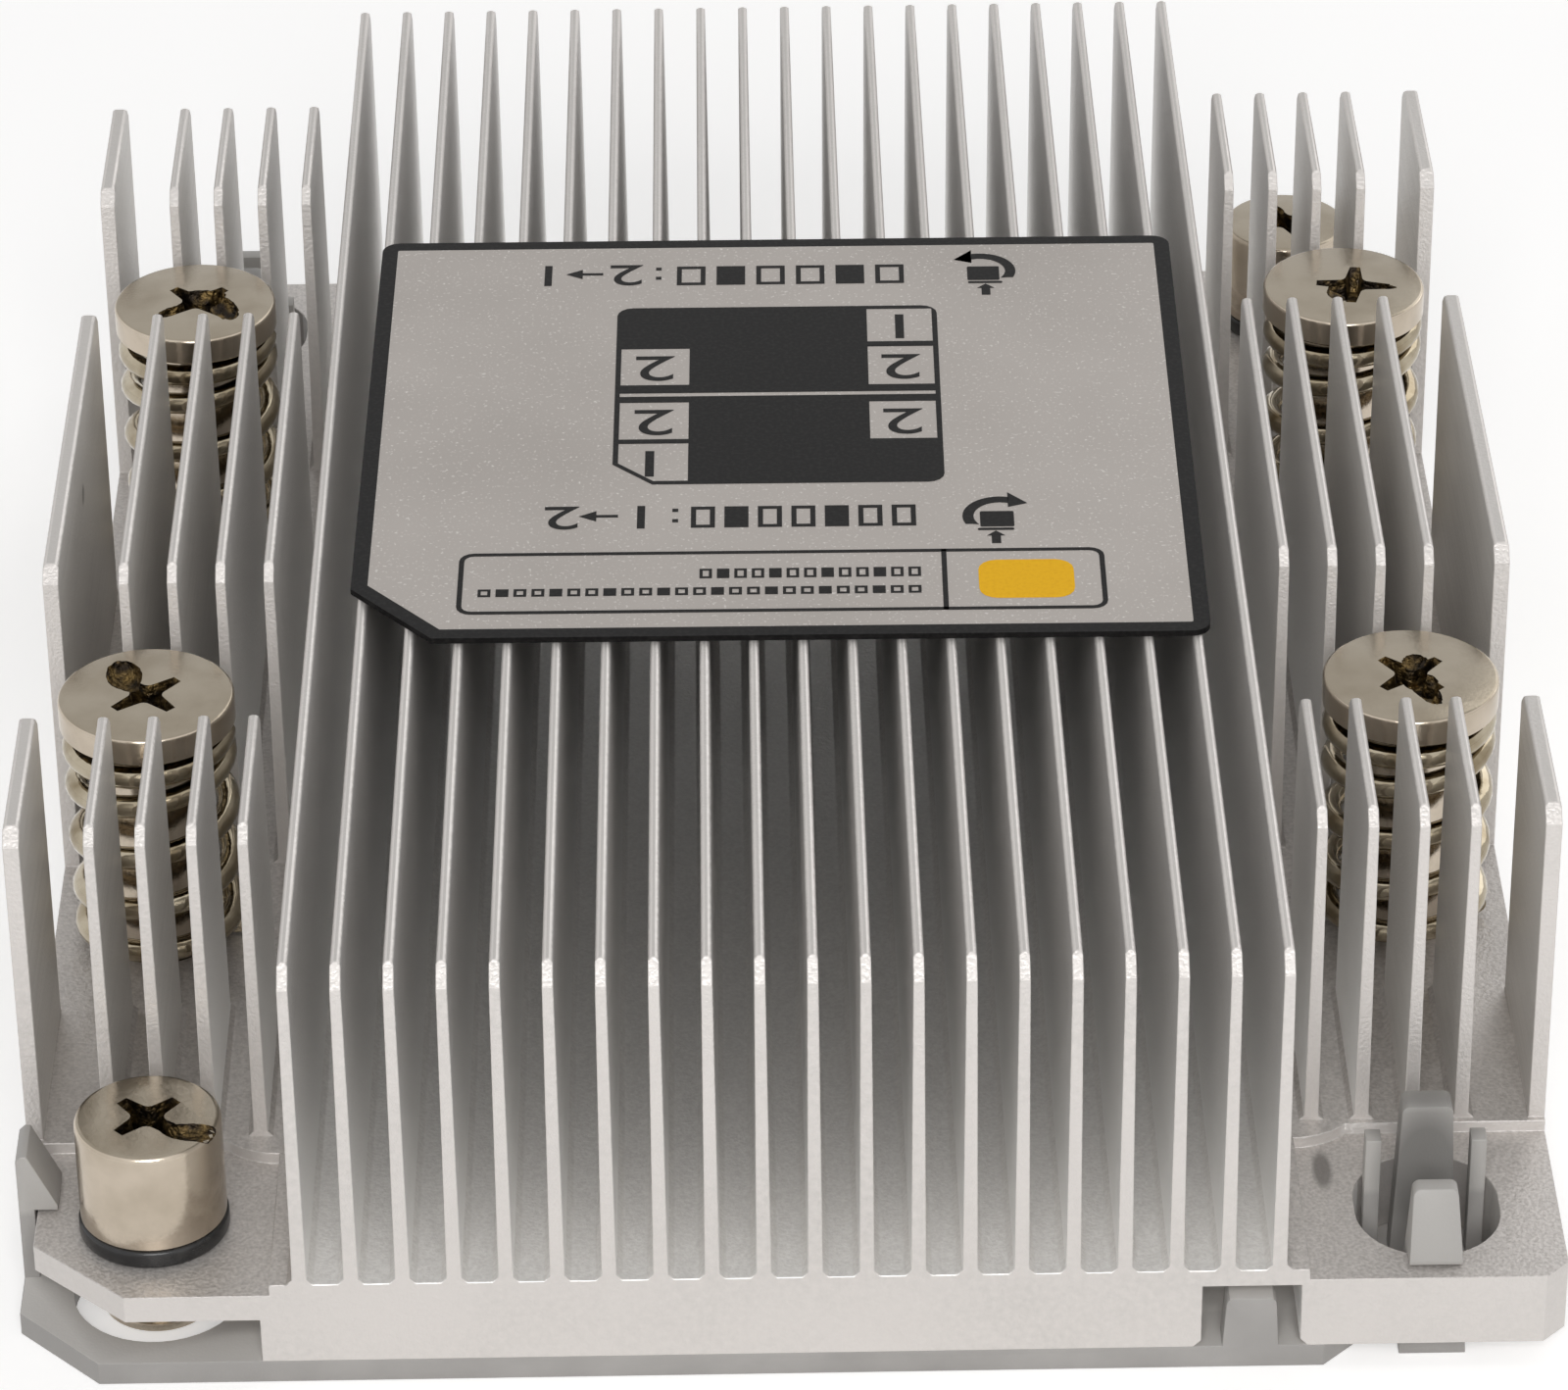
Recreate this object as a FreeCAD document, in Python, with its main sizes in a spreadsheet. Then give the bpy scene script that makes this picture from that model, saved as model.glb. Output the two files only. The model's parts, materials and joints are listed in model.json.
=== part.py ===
import FreeCAD, Part
import math
import os
import Sketcher
from FreeCAD import Vector

# Passive heatsink for a narrow 1U processor socket: an extruded and milled
# aluminium body, clipped to a moulded processor carrier, with four sprung
# captive screws, two captive corner screws and a film label on the fins.
# Origin: middle of the underside. +Y is the long side, along the air flow.
# The object looks the same after half a turn about Z, apart from the label.

SIZES = {
    # aluminium base
    "baseWidth": 78.9,
    "baseLength": 106.0,
    "baseThickness": 4.8,
    # fins
    "finPitch": 2.6,
    "finHeight": 19.0,
    "finRoot": 0.74,
    "finTip": 0.54,
    "tipBevel": 0.16,
    "rootBevel": 0.3,
    "wingWidth": 14.45,
    "sideFinThickness": 0.85,
    "blockChamfer": 1.05,
    "wingChamfer": 0.85,
    "wellLength": 13.8,
    # milled corners of the base
    "padLength": 12.45,
    "padStep": 0.35,
    "padDrop": 0.65,
    "padGap": 1.55,
    "padArcRadius": 3.8,
    "padArcReach": 2.75,
    "earWidth": 12.65,
    "earThickness": 1.55,
    "armSlotDepth": 0.95,
    "armSlotEnd": 2.0,
    "earChamferWidth": 4.9,
    "earChamferLength": 4.5,
    "latchChamfer": 1.2,
    "notchWidth": 5.0,
    "notchHeight": 3.8,
    "notchDepth": 6.0,
    "notchFlare": 0.4,
    # latch opening in the base
    "latchInset": 6.75,
    "latchRadius": 3.7,
    "latchStraight": 1.2,
    "cornerInset": 6.2,
    # processor carrier
    "carrierThickness": 1.3,
    "carrierChamfer": 4.3,
    "carrierSetback": 2.1,
    "carrierCorner": 1.8,
    "carrierSideRim": 13.45,
    "carrierEndRim": 16.5,
    "windowRound": 3.0,
    "hookWidth": 2.9,
    "hookThickness": 0.8,
    "hookHeight": 3.35,
    "hookReach": 2.0,
    "hookNose": 0.3,
    "hookGap": 0.15,
    "hookSetback": 7.35,
    "prongHeight": 11.7,
    "prongTopWidth": 2.6,
    "prongFootWidth": 3.4,
    "prongThickness": 1.5,
    "prongOffset": 1.2,
    "lipTopWidth": 2.3,
    "lipFootWidth": 3.4,
    "lipHeight": 9.6,
    "lipThickness": 1.2,
    "lipReach": 1.25,
    "wallClearance": 0.2,
    "ribWidth": 0.8,
    "ribDepth": 1.1,
    "ribHeight": 8.6,
    "ribOffset": 2.7,
    "tongueHeight": 3.0,
    "tongueTopWidth": 2.55,
    "tongueFootWidth": 3.0,
    "tongueThickness": 1.6,
    "tongueRound": 0.4,
    # sprung captive screws
    "springScrewInset": 5.85,
    "springScrewSpread": 43.0,
    "springHeadRadius": 4.7,
    "springHeadHeight": 1.6,
    "headEdge": 0.25,
    "shankRadius": 2.5,
    "shankClearance": 0.15,
    "threadRadius": 1.75,
    "tipHeight": 0.3,
    "tipLead": 0.4,
    "collarHeight": 0.6,
    "counterboreRadius": 4.4,
    "counterboreDepth": 1.5,
    "springHeight": 13.8,
    "springRadius": 4.65,
    "springWire": 1.25,
    "springCoils": 3,
    "closedPitch": 1.3,
    "coilSteps": 12,
    "wireSides": 6,
    "springSeatGap": 0.05,
    # captive corner screws
    "lockScrewInset": 7.05,
    "capRadius": 3.75,
    "capHeight": 5.8,
    "capEdge": 0.35,
    "lockShankRadius": 2.45,
    "washerRadius": 3.85,
    "washerHeight": 1.0,
    "lockRingRadius": 2.9,
    "lockRingThickness": 0.45,
    "lockTipRadius": 2.2,
    "lockThreadRadius": 1.45,
    "lockThreadDepth": 6.0,
    # rings in grooves
    "grooveDepth": 0.45,
    "ringRadius": 3.9,
    "ringThickness": 0.6,
    "ringMouth": 2.6,
    "ringPlay": 0.05,
    # drive recesses
    "recessReach": 2.2,
    "recessWidth": 1.1,
    "recessDepth": 1.2,
    "capRecessReach": 1.9,
    "capRecessDepth": 2.0,
    # film label
    "labelInset": 1.9,
    "labelLength": 43.7,
    "labelThickness": 0.35,
    "labelShiftX": 0.2,
    "labelShiftY": -0.85,
    "labelChamferWidth": 4.5,
    "labelChamferLength": 5.1,
    "labelRound": 0.8,
    # how far a cutting shape runs past the face it cuts
    "cutMargin": 1.0,
}

doc = FreeCAD.newDocument("passive_heatsink")
sheet = doc.addObject("Spreadsheet::Sheet", "sizes")
for row, (alias, value) in enumerate(SIZES.items(), start=1):
    sheet.set(f"A{row}", alias)
    sheet.set(f"B{row}", str(value))
    sheet.setAlias(f"B{row}", alias)
doc.recompute()


def total(*terms):
    """Sheet names and earlier totals joined into one expression: 'a', '-b'."""
    words = []
    for term in terms:
        sign = "-" if term.startswith("-") else "+"
        name = term.lstrip("-")
        words.append(f"{sign} {name}" if name.startswith("(") else f"{sign} sizes.{name}")
    return "(0 " + " ".join(words) + ")"


def share(term, factor):
    """A sheet name or an earlier total, times a plain factor."""
    name = term if term.startswith("(") else f"sizes.{term}"
    return f"({name} * {factor})"


def bind(target, path, expression):
    target.setExpression(path, expression)


# ---------------------------------------------------------------- key places
SIDE = share("baseWidth", 0.5)
END = share("baseLength", 0.5)
UNDERSIDE = total("carrierThickness")
FLOOR = total("carrierThickness", "baseThickness")
FIN_TOP = total(FLOOR, "finHeight")
BLOCK_GAPS = "floor((sizes.baseWidth - 2 * sizes.wingWidth) / sizes.finPitch)"
BLOCK_EDGE = f"({BLOCK_GAPS} / 2 * sizes.finPitch)"
PAD_INNER = total(BLOCK_EDGE, "padGap")
PAD_START = total(END, "-padLength")
PAD_TOP = total(FLOOR, "-padDrop")
WING_END = total(PAD_START, "-padStep")
EAR_UNDERSIDE = total(PAD_TOP, "-earThickness")
SIDE_FIN_INNER = total(SIDE, "-sideFinThickness")
WING_COUNT = f"floor(({SIDE_FIN_INNER} - {BLOCK_EDGE}) / sizes.finPitch - 0.5)"
CORNER_Y = total(END, "-cornerInset")
LOCK_X = total(SIDE, "-lockScrewInset")
LATCH_X = total(SIDE, "-latchInset")
SPRING_X = total(SIDE, "-springScrewInset")
SPRING_Y = share("springScrewSpread", 0.5)
SPRING_HOLE = total("shankRadius", "shankClearance")
LOCK_HOLE = total("lockShankRadius", "shankClearance")
RING_SEAT = total(UNDERSIDE, "counterboreDepth")
HEAD_UNDERSIDE = total(FLOOR, "springHeight", share("springSeatGap", 2))


# ---------------------------------------------------------------- helpers
def origin_plane(body, role):
    for plane in body.Origin.OriginFeatures:
        if plane.Role == role:
            return plane
    raise RuntimeError(f"{body.Label} has no {role}")


def new_body(name):
    body = doc.addObject("PartDesign::Body", name)
    body.Label = name
    return body


def new_sketch(body, name, plane="XY_Plane", offset=None):
    """A sketch on one of the body's own planes, moved along its normal."""
    sketch = body.newObject("Sketcher::SketchObject", name)
    sketch.AttachmentSupport = [(origin_plane(body, plane), "")]
    sketch.MapMode = "FlatFace"
    if offset is not None:
        bind(sketch, "AttachmentOffset.Base.z", offset)
    return sketch


def pin(sketch, geometry, point, x, y):
    """Hold one point of a sketch at an expression for each coordinate."""
    for kind, expression in (("DistanceX", x), ("DistanceY", y)):
        value = float(sketch.evalExpression(expression))
        index = sketch.addConstraint(Sketcher.Constraint(kind, -1, 1, geometry, point, value))
        bind(sketch, f"Constraints[{index}]", expression)


def hold_radius(sketch, geometry, expression):
    value = float(sketch.evalExpression(expression))
    index = sketch.addConstraint(Sketcher.Constraint("Radius", geometry, value))
    bind(sketch, f"Constraints[{index}]", expression)


def arc_between(start, end, radius, turn):
    """The arc from start to end that bends left (turn 1) or right (turn -1)."""
    chord = end - start
    rise = math.sqrt(max(radius**2 - (chord.Length / 2) ** 2, 0.0))
    across = Vector(-chord.y, chord.x, 0).normalize()
    centre = (start + end) * 0.5 + across * (rise * turn)
    first, last = (start, end) if turn > 0 else (end, start)
    angles = [math.atan2(p.y - centre.y, p.x - centre.x) for p in (first, last)]
    circle = Part.Circle(centre, Vector(0, 0, 1), radius)
    return Part.ArcOfCircle(circle, angles[0], angles[1])


def outline(sketch, corners, flip_x=1, flip_y=1):
    """A closed outline. A corner is (x, y), or (x, y, radius, turn) where an
    arc leaves it. The flips mirror it, so that one list serves every corner."""
    places = []
    for corner in corners:
        x = f"{flip_x} * ({corner[0]})"
        y = f"{flip_y} * ({corner[1]})"
        places.append((x, y, *corner[2:]))
    points = []
    for x, y, *_ in places:
        points.append(Vector(float(sketch.evalExpression(x)), float(sketch.evalExpression(y)), 0))
    ends = []
    for index, (x, y, *arc) in enumerate(places):
        start = points[index]
        end = points[(index + 1) % len(points)]
        if not arc:
            geometry = sketch.addGeometry(Part.LineSegment(start, end), False)
            ends.append((geometry, 1, 2))
            continue
        radius, turn = arc[0], arc[1] * flip_x * flip_y
        value = float(sketch.evalExpression(radius))
        geometry = sketch.addGeometry(arc_between(start, end, value, turn), False)
        hold_radius(sketch, geometry, radius)
        ends.append((geometry, 1, 2) if turn > 0 else (geometry, 2, 1))
    for index, (geometry, first, last) in enumerate(ends):
        following = ends[(index + 1) % len(ends)]
        sketch.addConstraint(
            Sketcher.Constraint("Coincident", geometry, last, following[0], following[1])
        )
        pin(sketch, geometry, first, places[index][0], places[index][1])


def circle(sketch, x, y, radius):
    value = float(sketch.evalExpression(radius))
    place = Vector(float(sketch.evalExpression(x)), float(sketch.evalExpression(y)), 0)
    geometry = sketch.addGeometry(Part.Circle(place, Vector(0, 0, 1), value), False)
    hold_radius(sketch, geometry, radius)
    pin(sketch, geometry, 3, x, y)


def rectangle(sketch, x0, y0, x1, y1, flip_x=1, flip_y=1):
    outline(sketch, [(x0, y0), (x1, y0), (x1, y1), (x0, y1)], flip_x, flip_y)


def rounded_rectangle(sketch, half_x, half_y, radius):
    inner_x = f"({half_x} - {radius})"
    inner_y = f"({half_y} - {radius})"
    corners = [
        (half_x, f"-{inner_y}"),
        (half_x, inner_y, radius, 1),
        (inner_x, half_y),
        (f"-{inner_x}", half_y, radius, 1),
        (f"-{half_x}", inner_y),
        (f"-{half_x}", f"-{inner_y}", radius, 1),
        (f"-{inner_x}", f"-{half_y}"),
        (inner_x, f"-{half_y}", radius, 1),
    ]
    outline(sketch, corners)


def pad(body, sketch, length, midplane=False, reverse=False):
    feature = body.newObject("PartDesign::Pad", f"{sketch.Name}Pad")
    feature.Profile = sketch
    bind(feature, "Length", length)
    feature.Midplane = midplane
    feature.Reversed = reverse
    doc.recompute()
    return feature


def pocket(body, sketch, length=None, midplane=False, reverse=False):
    """Cuts against the sketch's normal, or along it when reversed."""
    before = body.Shape.Volume
    feature = body.newObject("PartDesign::Pocket", f"{sketch.Name}Pocket")
    feature.Profile = sketch
    feature.Midplane = midplane
    feature.Reversed = reverse
    if length is None:
        feature.Type = "ThroughAll"
    else:
        bind(feature, "Length", length)
    doc.recompute()
    if not body.Shape.Volume < before:
        raise RuntimeError(f"{feature.Name} cuts nothing")
    return feature


def revolve(body, sketch):
    feature = body.newObject("PartDesign::Revolution", f"{sketch.Name}Revolution")
    feature.Profile = sketch
    feature.ReferenceAxis = (sketch, ["V_Axis"])
    feature.Angle = 360
    doc.recompute()
    return feature


def row_along_x(body, feature, step, count, reverse):
    pattern = body.newObject("PartDesign::LinearPattern", f"{feature.Name}Row")
    pattern.Originals = [feature]
    for axis in body.Origin.OriginFeatures:
        if axis.Role == "X_Axis":
            pattern.Direction = (axis, [""])
    pattern.Mode = "Spacing"
    bind(pattern, "Offset", step)
    bind(pattern, "Occurrences", count)
    pattern.Reversed = reverse
    body.Tip = pattern
    doc.recompute()
    return pattern


def place(body, x, y):
    bind(body, "Placement.Base.x", x)
    bind(body, "Placement.Base.y", y)


# ---------------------------------------------------------------- heatsink
def fin_profile(body, name, centre):
    """A drawn fin: slight taper, both tip edges broken, thickened at its root."""
    foot = total(FLOOR, share("baseThickness", -0.5))
    half_root = share("finRoot", 0.5)
    half_tip = share("finTip", 0.5)
    tip_flat = total(half_tip, "-tipBevel")
    root_edge = total(half_root, "rootBevel")
    root_top = total(FLOOR, "rootBevel")
    tip_side = total(FIN_TOP, "-tipBevel")
    edge = [
        (root_edge, foot),
        (root_edge, FLOOR),
        (half_root, root_top),
        (half_tip, tip_side),
        (tip_flat, FIN_TOP),
    ]
    corners = []
    for x, y in edge:
        corners.append((f"{centre} + {x}", y))
    for x, y in reversed(edge):
        corners.append((f"{centre} - {x}", y))
    sketch = new_sketch(body, name, "XZ_Plane")
    outline(sketch, corners)
    return sketch


def add_fins(body):
    block = fin_profile(body, "blockFin", f"-{BLOCK_EDGE}")
    first = pad(body, block, "sizes.baseLength", midplane=True)
    row_along_x(body, first, "sizes.finPitch", f"{BLOCK_GAPS} + 1", reverse=False)
    for side, name in ((-1, "left"), (1, "right")):
        centre = f"{side} * ({BLOCK_EDGE} + sizes.finPitch)"
        wing = fin_profile(body, f"{name}WingFin", centre)
        first = pad(body, wing, share(WING_END, 2), midplane=True)
        row_along_x(body, first, "sizes.finPitch", WING_COUNT, reverse=side < 0)
        add_side_fin(body, side, name)


def add_side_fin(body, side, name):
    foot = total(FLOOR, share("baseThickness", -0.5))
    tip_side = total(FIN_TOP, "-tipBevel")
    sketch = new_sketch(body, f"{name}SideFin", "XZ_Plane")
    corners = [
        (SIDE_FIN_INNER, foot),
        (SIDE, foot),
        (SIDE, tip_side),
        (total(SIDE, "-tipBevel"), FIN_TOP),
        (total(SIDE_FIN_INNER, "tipBevel"), FIN_TOP),
        (SIDE_FIN_INNER, tip_side),
    ]
    outline(sketch, corners, flip_x=side)
    pad(body, sketch, share(WING_END, 2), midplane=True)


def cut_wells(body):
    """Two wells a side for the spring screws, and every wing fin's end bevels."""
    reach = total("wingChamfer", "cutMargin")
    above = total(FIN_TOP, "cutMargin")
    below = total(FIN_TOP, "-wingChamfer")
    near = total(SPRING_Y, share("wellLength", -0.5))
    far = total(SPRING_Y, share("wellLength", 0.5))
    well = [
        (near, FLOOR),
        (far, FLOOR),
        (far, below),
        (total(far, reach), above),
        (total(near, f"-{reach}"), above),
        (near, below),
    ]
    past_end = total(WING_END, "cutMargin")
    bevel = [
        (past_end, total(below, "-cutMargin")),
        (past_end, above),
        (total(WING_END, f"-{reach}"), above),
    ]
    for side, name in ((-1, "left"), (1, "right")):
        sketch = new_sketch(body, f"{name}Wells", "YZ_Plane", f"{side} * {PAD_INNER}")
        for end in (-1, 1):
            outline(sketch, well, flip_x=end)
            outline(sketch, bevel, flip_x=end)
        pocket(body, sketch, reverse=side > 0)


def cut_block_ends(body):
    """The bevel along the top of both ends of the full-length fins."""
    reach = total("blockChamfer", "cutMargin")
    above = total(FIN_TOP, "cutMargin")
    past_end = total(END, "cutMargin")
    bevel = [
        (past_end, total(FIN_TOP, f"-{reach}")),
        (past_end, above),
        (total(END, f"-{reach}"), above),
    ]
    sketch = new_sketch(body, "blockEnds", "YZ_Plane")
    for end in (-1, 1):
        outline(sketch, bevel, flip_x=end)
    pocket(body, sketch, total("baseWidth"), midplane=True)


def cut_pads(body):
    """A milled seat at each corner, its inner corner left by the round cutter."""
    arc_drop = "(sizes.padArcRadius - sqrt(sizes.padArcRadius ^ 2 - sizes.padArcReach ^ 2))"
    outside = total(SIDE, "cutMargin")
    past_end = total(END, "cutMargin")
    corners = [
        (PAD_INNER, total(PAD_START, arc_drop)),
        (PAD_INNER, past_end),
        (outside, past_end),
        (outside, PAD_START),
        (total(PAD_INNER, "padArcReach"), PAD_START, "sizes.padArcRadius", 1),
    ]
    sketch = new_sketch(body, "cornerPads", "XY_Plane", FLOOR)
    for flip_x in (-1, 1):
        for flip_y in (-1, 1):
            outline(sketch, corners, flip_x, flip_y)
    pocket(body, sketch, "sizes.padDrop")


def cut_ears(body):
    """The thin ears at two opposite corners, which the corner screws hold."""
    inner = total(SIDE, "-earWidth")
    outside = total(SIDE, "cutMargin")
    past_end = total(END, "cutMargin")
    recess = new_sketch(body, "earRecess", "XY_Plane", UNDERSIDE)
    for turn in (-1, 1):
        rectangle(recess, inner, PAD_START, outside, past_end, turn, turn)
    pocket(body, recess, total(EAR_UNDERSIDE, f"-{UNDERSIDE}"), reverse=True)

    edge = total(SIDE, "-armSlotDepth")
    slot_end = total(PAD_START, "armSlotEnd")
    corners = [
        (edge, slot_end),
        (edge, total(END, "-earChamferLength")),
        (total(edge, "-earChamferWidth"), END),
        (total(edge, "-earChamferWidth"), past_end),
        (outside, past_end),
        (outside, slot_end),
    ]
    rim = new_sketch(body, "earOutline", "XY_Plane", FLOOR)
    for turn in (-1, 1):
        outline(rim, corners, turn, turn)
    pocket(body, rim)


def cut_latch_corners(body):
    """The two full corners: the slot that the carrier's latch comes through,
    a broken outer corner, and the notch for the carrier's tongue."""
    half_straight = share("latchStraight", 0.5)
    near = total(CORNER_Y, f"-{half_straight}")
    far = total(CORNER_Y, half_straight)
    left = total(LATCH_X, "-latchRadius")
    right = total(LATCH_X, "latchRadius")
    radius = "sizes.latchRadius"
    slot = [
        (right, near),
        (right, far, radius, 1),
        (LATCH_X, total(far, "latchRadius"), radius, 1),
        (left, far),
        (left, near, radius, 1),
        (LATCH_X, total(near, "-latchRadius"), radius, 1),
    ]
    opening = new_sketch(body, "latchSlot", "XY_Plane", FLOOR)
    for turn in (-1, 1):
        outline(opening, slot, turn, -turn)
    pocket(body, opening)

    corner = [
        (total(SIDE, "-latchChamfer", "-cutMargin"), total(END, "cutMargin")),
        (total(SIDE, "cutMargin"), total(END, "-latchChamfer", "-cutMargin")),
        (total(SIDE, "cutMargin"), total(END, "cutMargin")),
    ]
    broken = new_sketch(body, "latchCorner", "XY_Plane", FLOOR)
    for turn in (-1, 1):
        outline(broken, corner, turn, -turn)
    pocket(body, broken)

    outer = total(PAD_INNER, "-notchFlare")
    inner = total(outer, "-notchWidth")
    above = total(UNDERSIDE, "notchFlare")
    top = total(UNDERSIDE, "notchHeight")
    below = total(UNDERSIDE, "-cutMargin")
    notch = [
        (total(inner, "-notchFlare"), below),
        (total(outer, "notchFlare"), below),
        (total(outer, "notchFlare"), UNDERSIDE),
        (outer, above),
        (outer, top),
        (inner, top),
        (inner, above),
        (total(inner, "-notchFlare"), UNDERSIDE),
    ]
    for turn, name in ((1, "front"), (-1, "back")):
        sketch = new_sketch(body, f"{name}Notch", "XZ_Plane", f"{turn} * {END}")
        outline(sketch, notch, flip_x=turn)
        pocket(body, sketch, "sizes.notchDepth", reverse=turn < 0)


def cut_screw_holes(body):
    holes = new_sketch(body, "screwHoles", "XY_Plane", UNDERSIDE)
    seats = new_sketch(body, "ringSeats", "XY_Plane", UNDERSIDE)
    for flip_x in (-1, 1):
        for flip_y in (-1, 1):
            x = f"{flip_x} * {SPRING_X}"
            y = f"{flip_y} * {SPRING_Y}"
            circle(holes, x, y, SPRING_HOLE)
            circle(seats, x, y, "sizes.counterboreRadius")
    for turn in (-1, 1):
        circle(holes, f"{turn} * {LOCK_X}", f"{turn} * {CORNER_Y}", LOCK_HOLE)
    pocket(body, holes, reverse=True)
    pocket(body, seats, "sizes.counterboreDepth", reverse=True)


def make_heatsink():
    body = new_body("heatsink")
    base = new_sketch(body, "basePlate", "XY_Plane", UNDERSIDE)
    rectangle(base, f"-{SIDE}", f"-{END}", SIDE, END)
    pad(body, base, "sizes.baseThickness")
    add_fins(body)
    cut_wells(body)
    cut_block_ends(body)
    cut_pads(body)
    cut_ears(body)
    cut_latch_corners(body)
    cut_screw_holes(body)
    return body


# ---------------------------------------------------------------- carrier
def carrier_plate(body):
    """A frame under the base: open over the processor, clear of every screw."""
    tip_start = total(LATCH_X, "-latchRadius", "-carrierSetback", "wallClearance")
    step = total(END, "-carrierSetback")
    front = [
        (f"-{SIDE}", f"-({END} - sizes.carrierChamfer)"),
        (f"-({SIDE} - sizes.carrierChamfer)", f"-{END}"),
        (tip_start, f"-{END}"),
        (total(tip_start, "carrierSetback"), f"-{step}"),
        (total(SIDE, "-carrierCorner"), f"-{step}"),
        (SIDE, f"-({step} - sizes.carrierCorner)"),
    ]
    corners = list(front)
    for x, y in front:
        corners.append((f"-({x})", f"-({y})"))
    sketch = new_sketch(body, "carrierPlate")
    outline(sketch, corners)
    half_width = total(SIDE, "-carrierSideRim")
    half_length = total(END, "-carrierEndRim")
    rounded_rectangle(sketch, half_width, half_length, "sizes.windowRound")
    clearance = "sizes.counterboreRadius"
    for flip_x in (-1, 1):
        for flip_y in (-1, 1):
            circle(sketch, f"{flip_x} * {SPRING_X}", f"{flip_y} * {SPRING_Y}", clearance)
    for turn in (-1, 1):
        circle(sketch, f"{turn} * {LOCK_X}", f"{turn} * {CORNER_Y}", clearance)
    pad(body, sketch, "sizes.carrierThickness")


def carrier_hooks(body):
    """An arm up the side of each thin ear, whose nose snaps over the ear."""
    inner = total(SIDE, "-hookThickness")
    nose = total(SIDE, "-hookReach")
    under = total(PAD_TOP, "hookGap")
    top = total(under, "hookHeight")
    corners = [
        (SIDE, "0"),
        (SIDE, total(top, "-hookNose")),
        (total(SIDE, "-hookNose"), top),
        (total(SIDE, share("hookNose", -2)), top),
        (nose, total(under, "hookNose")),
        (nose, under),
        (inner, under),
        (inner, "0"),
    ]
    middle = total(END, "-hookSetback", share("hookWidth", -0.5))
    for turn, name in ((-1, "left"), (1, "right")):
        sketch = new_sketch(body, f"{name}Hook", "XZ_Plane", f"{-turn} * {middle}")
        outline(sketch, corners, flip_x=turn)
        pad(body, sketch, "sizes.hookWidth", midplane=True)


def post_face(centre, foot_width, top_width, top):
    """The front view of a post that narrows towards its rounded top."""
    half_foot = share(foot_width, 0.5)
    half_top = share(top_width, 0.5)
    side_top = total(top, "-tongueRound")
    flat = total(half_top, "-tongueRound")
    radius = "sizes.tongueRound"
    return [
        (total(centre, f"-{half_foot}"), "0"),
        (total(centre, half_foot), "0"),
        (total(centre, half_top), side_top, radius, 1),
        (total(centre, flat), top),
        (total(centre, f"-{flat}"), top, radius, 1),
        (total(centre, f"-{half_top}"), side_top),
    ]


def carrier_tongues(body):
    """A rounded tongue in each of the two notches."""
    centre = total(PAD_INNER, "-notchFlare", share("notchWidth", -0.5))
    top = total(UNDERSIDE, "tongueHeight")
    tongue = post_face(centre, "tongueFootWidth", "tongueTopWidth", top)
    for turn, name in ((1, "front"), (-1, "back")):
        sketch = new_sketch(body, f"{name}Tongue", "XZ_Plane", f"{turn} * {END}")
        outline(sketch, tongue, flip_x=turn)
        pad(body, sketch, "sizes.tongueThickness", reverse=turn > 0)


def carrier_latches(body):
    """What comes up through each slot: a tall post, two low ribs beside it and
    a sprung lip, whose nose snaps over the outer edge of the slot."""
    slot_end = total(CORNER_Y, share("latchStraight", 0.5), "latchRadius")
    lip_front = total(slot_end, "-wallClearance", "lipReach")
    lip_back = total(slot_end, "-wallClearance", "-lipThickness")
    prong_middle = total(CORNER_Y, "-prongOffset", share("prongThickness", -0.5))
    rib_middle = total(CORNER_Y, "-prongOffset", share("ribDepth", -0.5))
    lip_middle = share(total(lip_front, lip_back), 0.5)
    lip_depth = total(lip_front, f"-{lip_back}")
    prong = post_face(LATCH_X, "prongFootWidth", "prongTopWidth", total("prongHeight"))
    lip = post_face(LATCH_X, "lipFootWidth", "lipTopWidth", total("lipHeight"))
    for turn, name in ((1, "front"), (-1, "back")):
        sketch = new_sketch(body, f"{name}Prong", "XZ_Plane", f"{turn} * {prong_middle}")
        outline(sketch, prong, flip_x=turn)
        pad(body, sketch, "sizes.prongThickness", midplane=True)

        sketch = new_sketch(body, f"{name}Ribs", "XZ_Plane", f"{turn} * {rib_middle}")
        for side in (-1, 1):
            middle = total(LATCH_X, share("ribOffset", side))
            left = total(middle, share("ribWidth", -0.5))
            right = total(middle, share("ribWidth", 0.5))
            rectangle(sketch, left, "0", right, "sizes.ribHeight", flip_x=turn)
        pad(body, sketch, "sizes.ribDepth", midplane=True)

        sketch = new_sketch(body, f"{name}Lip", "XZ_Plane", f"{turn} * {lip_middle}")
        outline(sketch, lip, flip_x=turn)
        pad(body, sketch, lip_depth, midplane=True)
    trim_lips(body, slot_end, lip_front)


def trim_lips(body, slot_end, lip_front):
    """The lip's slanted front, and the clearance under its nose."""
    under = total(PAD_TOP, "hookGap")
    wall = total(slot_end, "-wallClearance")
    past = total(lip_front, "cutMargin")
    top = total("lipHeight")
    slope_foot = total(under, "hookNose")
    slope = [
        (total(wall, "-hookNose"), total(top, "cutMargin")),
        (total(wall, "-hookNose"), top),
        (lip_front, slope_foot),
        (past, slope_foot),
        (past, total(top, "cutMargin")),
    ]
    gap = [(wall, UNDERSIDE), (past, UNDERSIDE), (past, under), (wall, under)]
    inner = total(LATCH_X, share("lipFootWidth", -1))
    width = share("lipFootWidth", 2)
    for turn, name in ((1, "front"), (-1, "back")):
        sketch = new_sketch(body, f"{name}LipTrim", "YZ_Plane", f"{turn} * {inner}")
        outline(sketch, slope, flip_x=-turn)
        outline(sketch, gap, flip_x=-turn)
        pocket(body, sketch, width, reverse=turn > 0)


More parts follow.
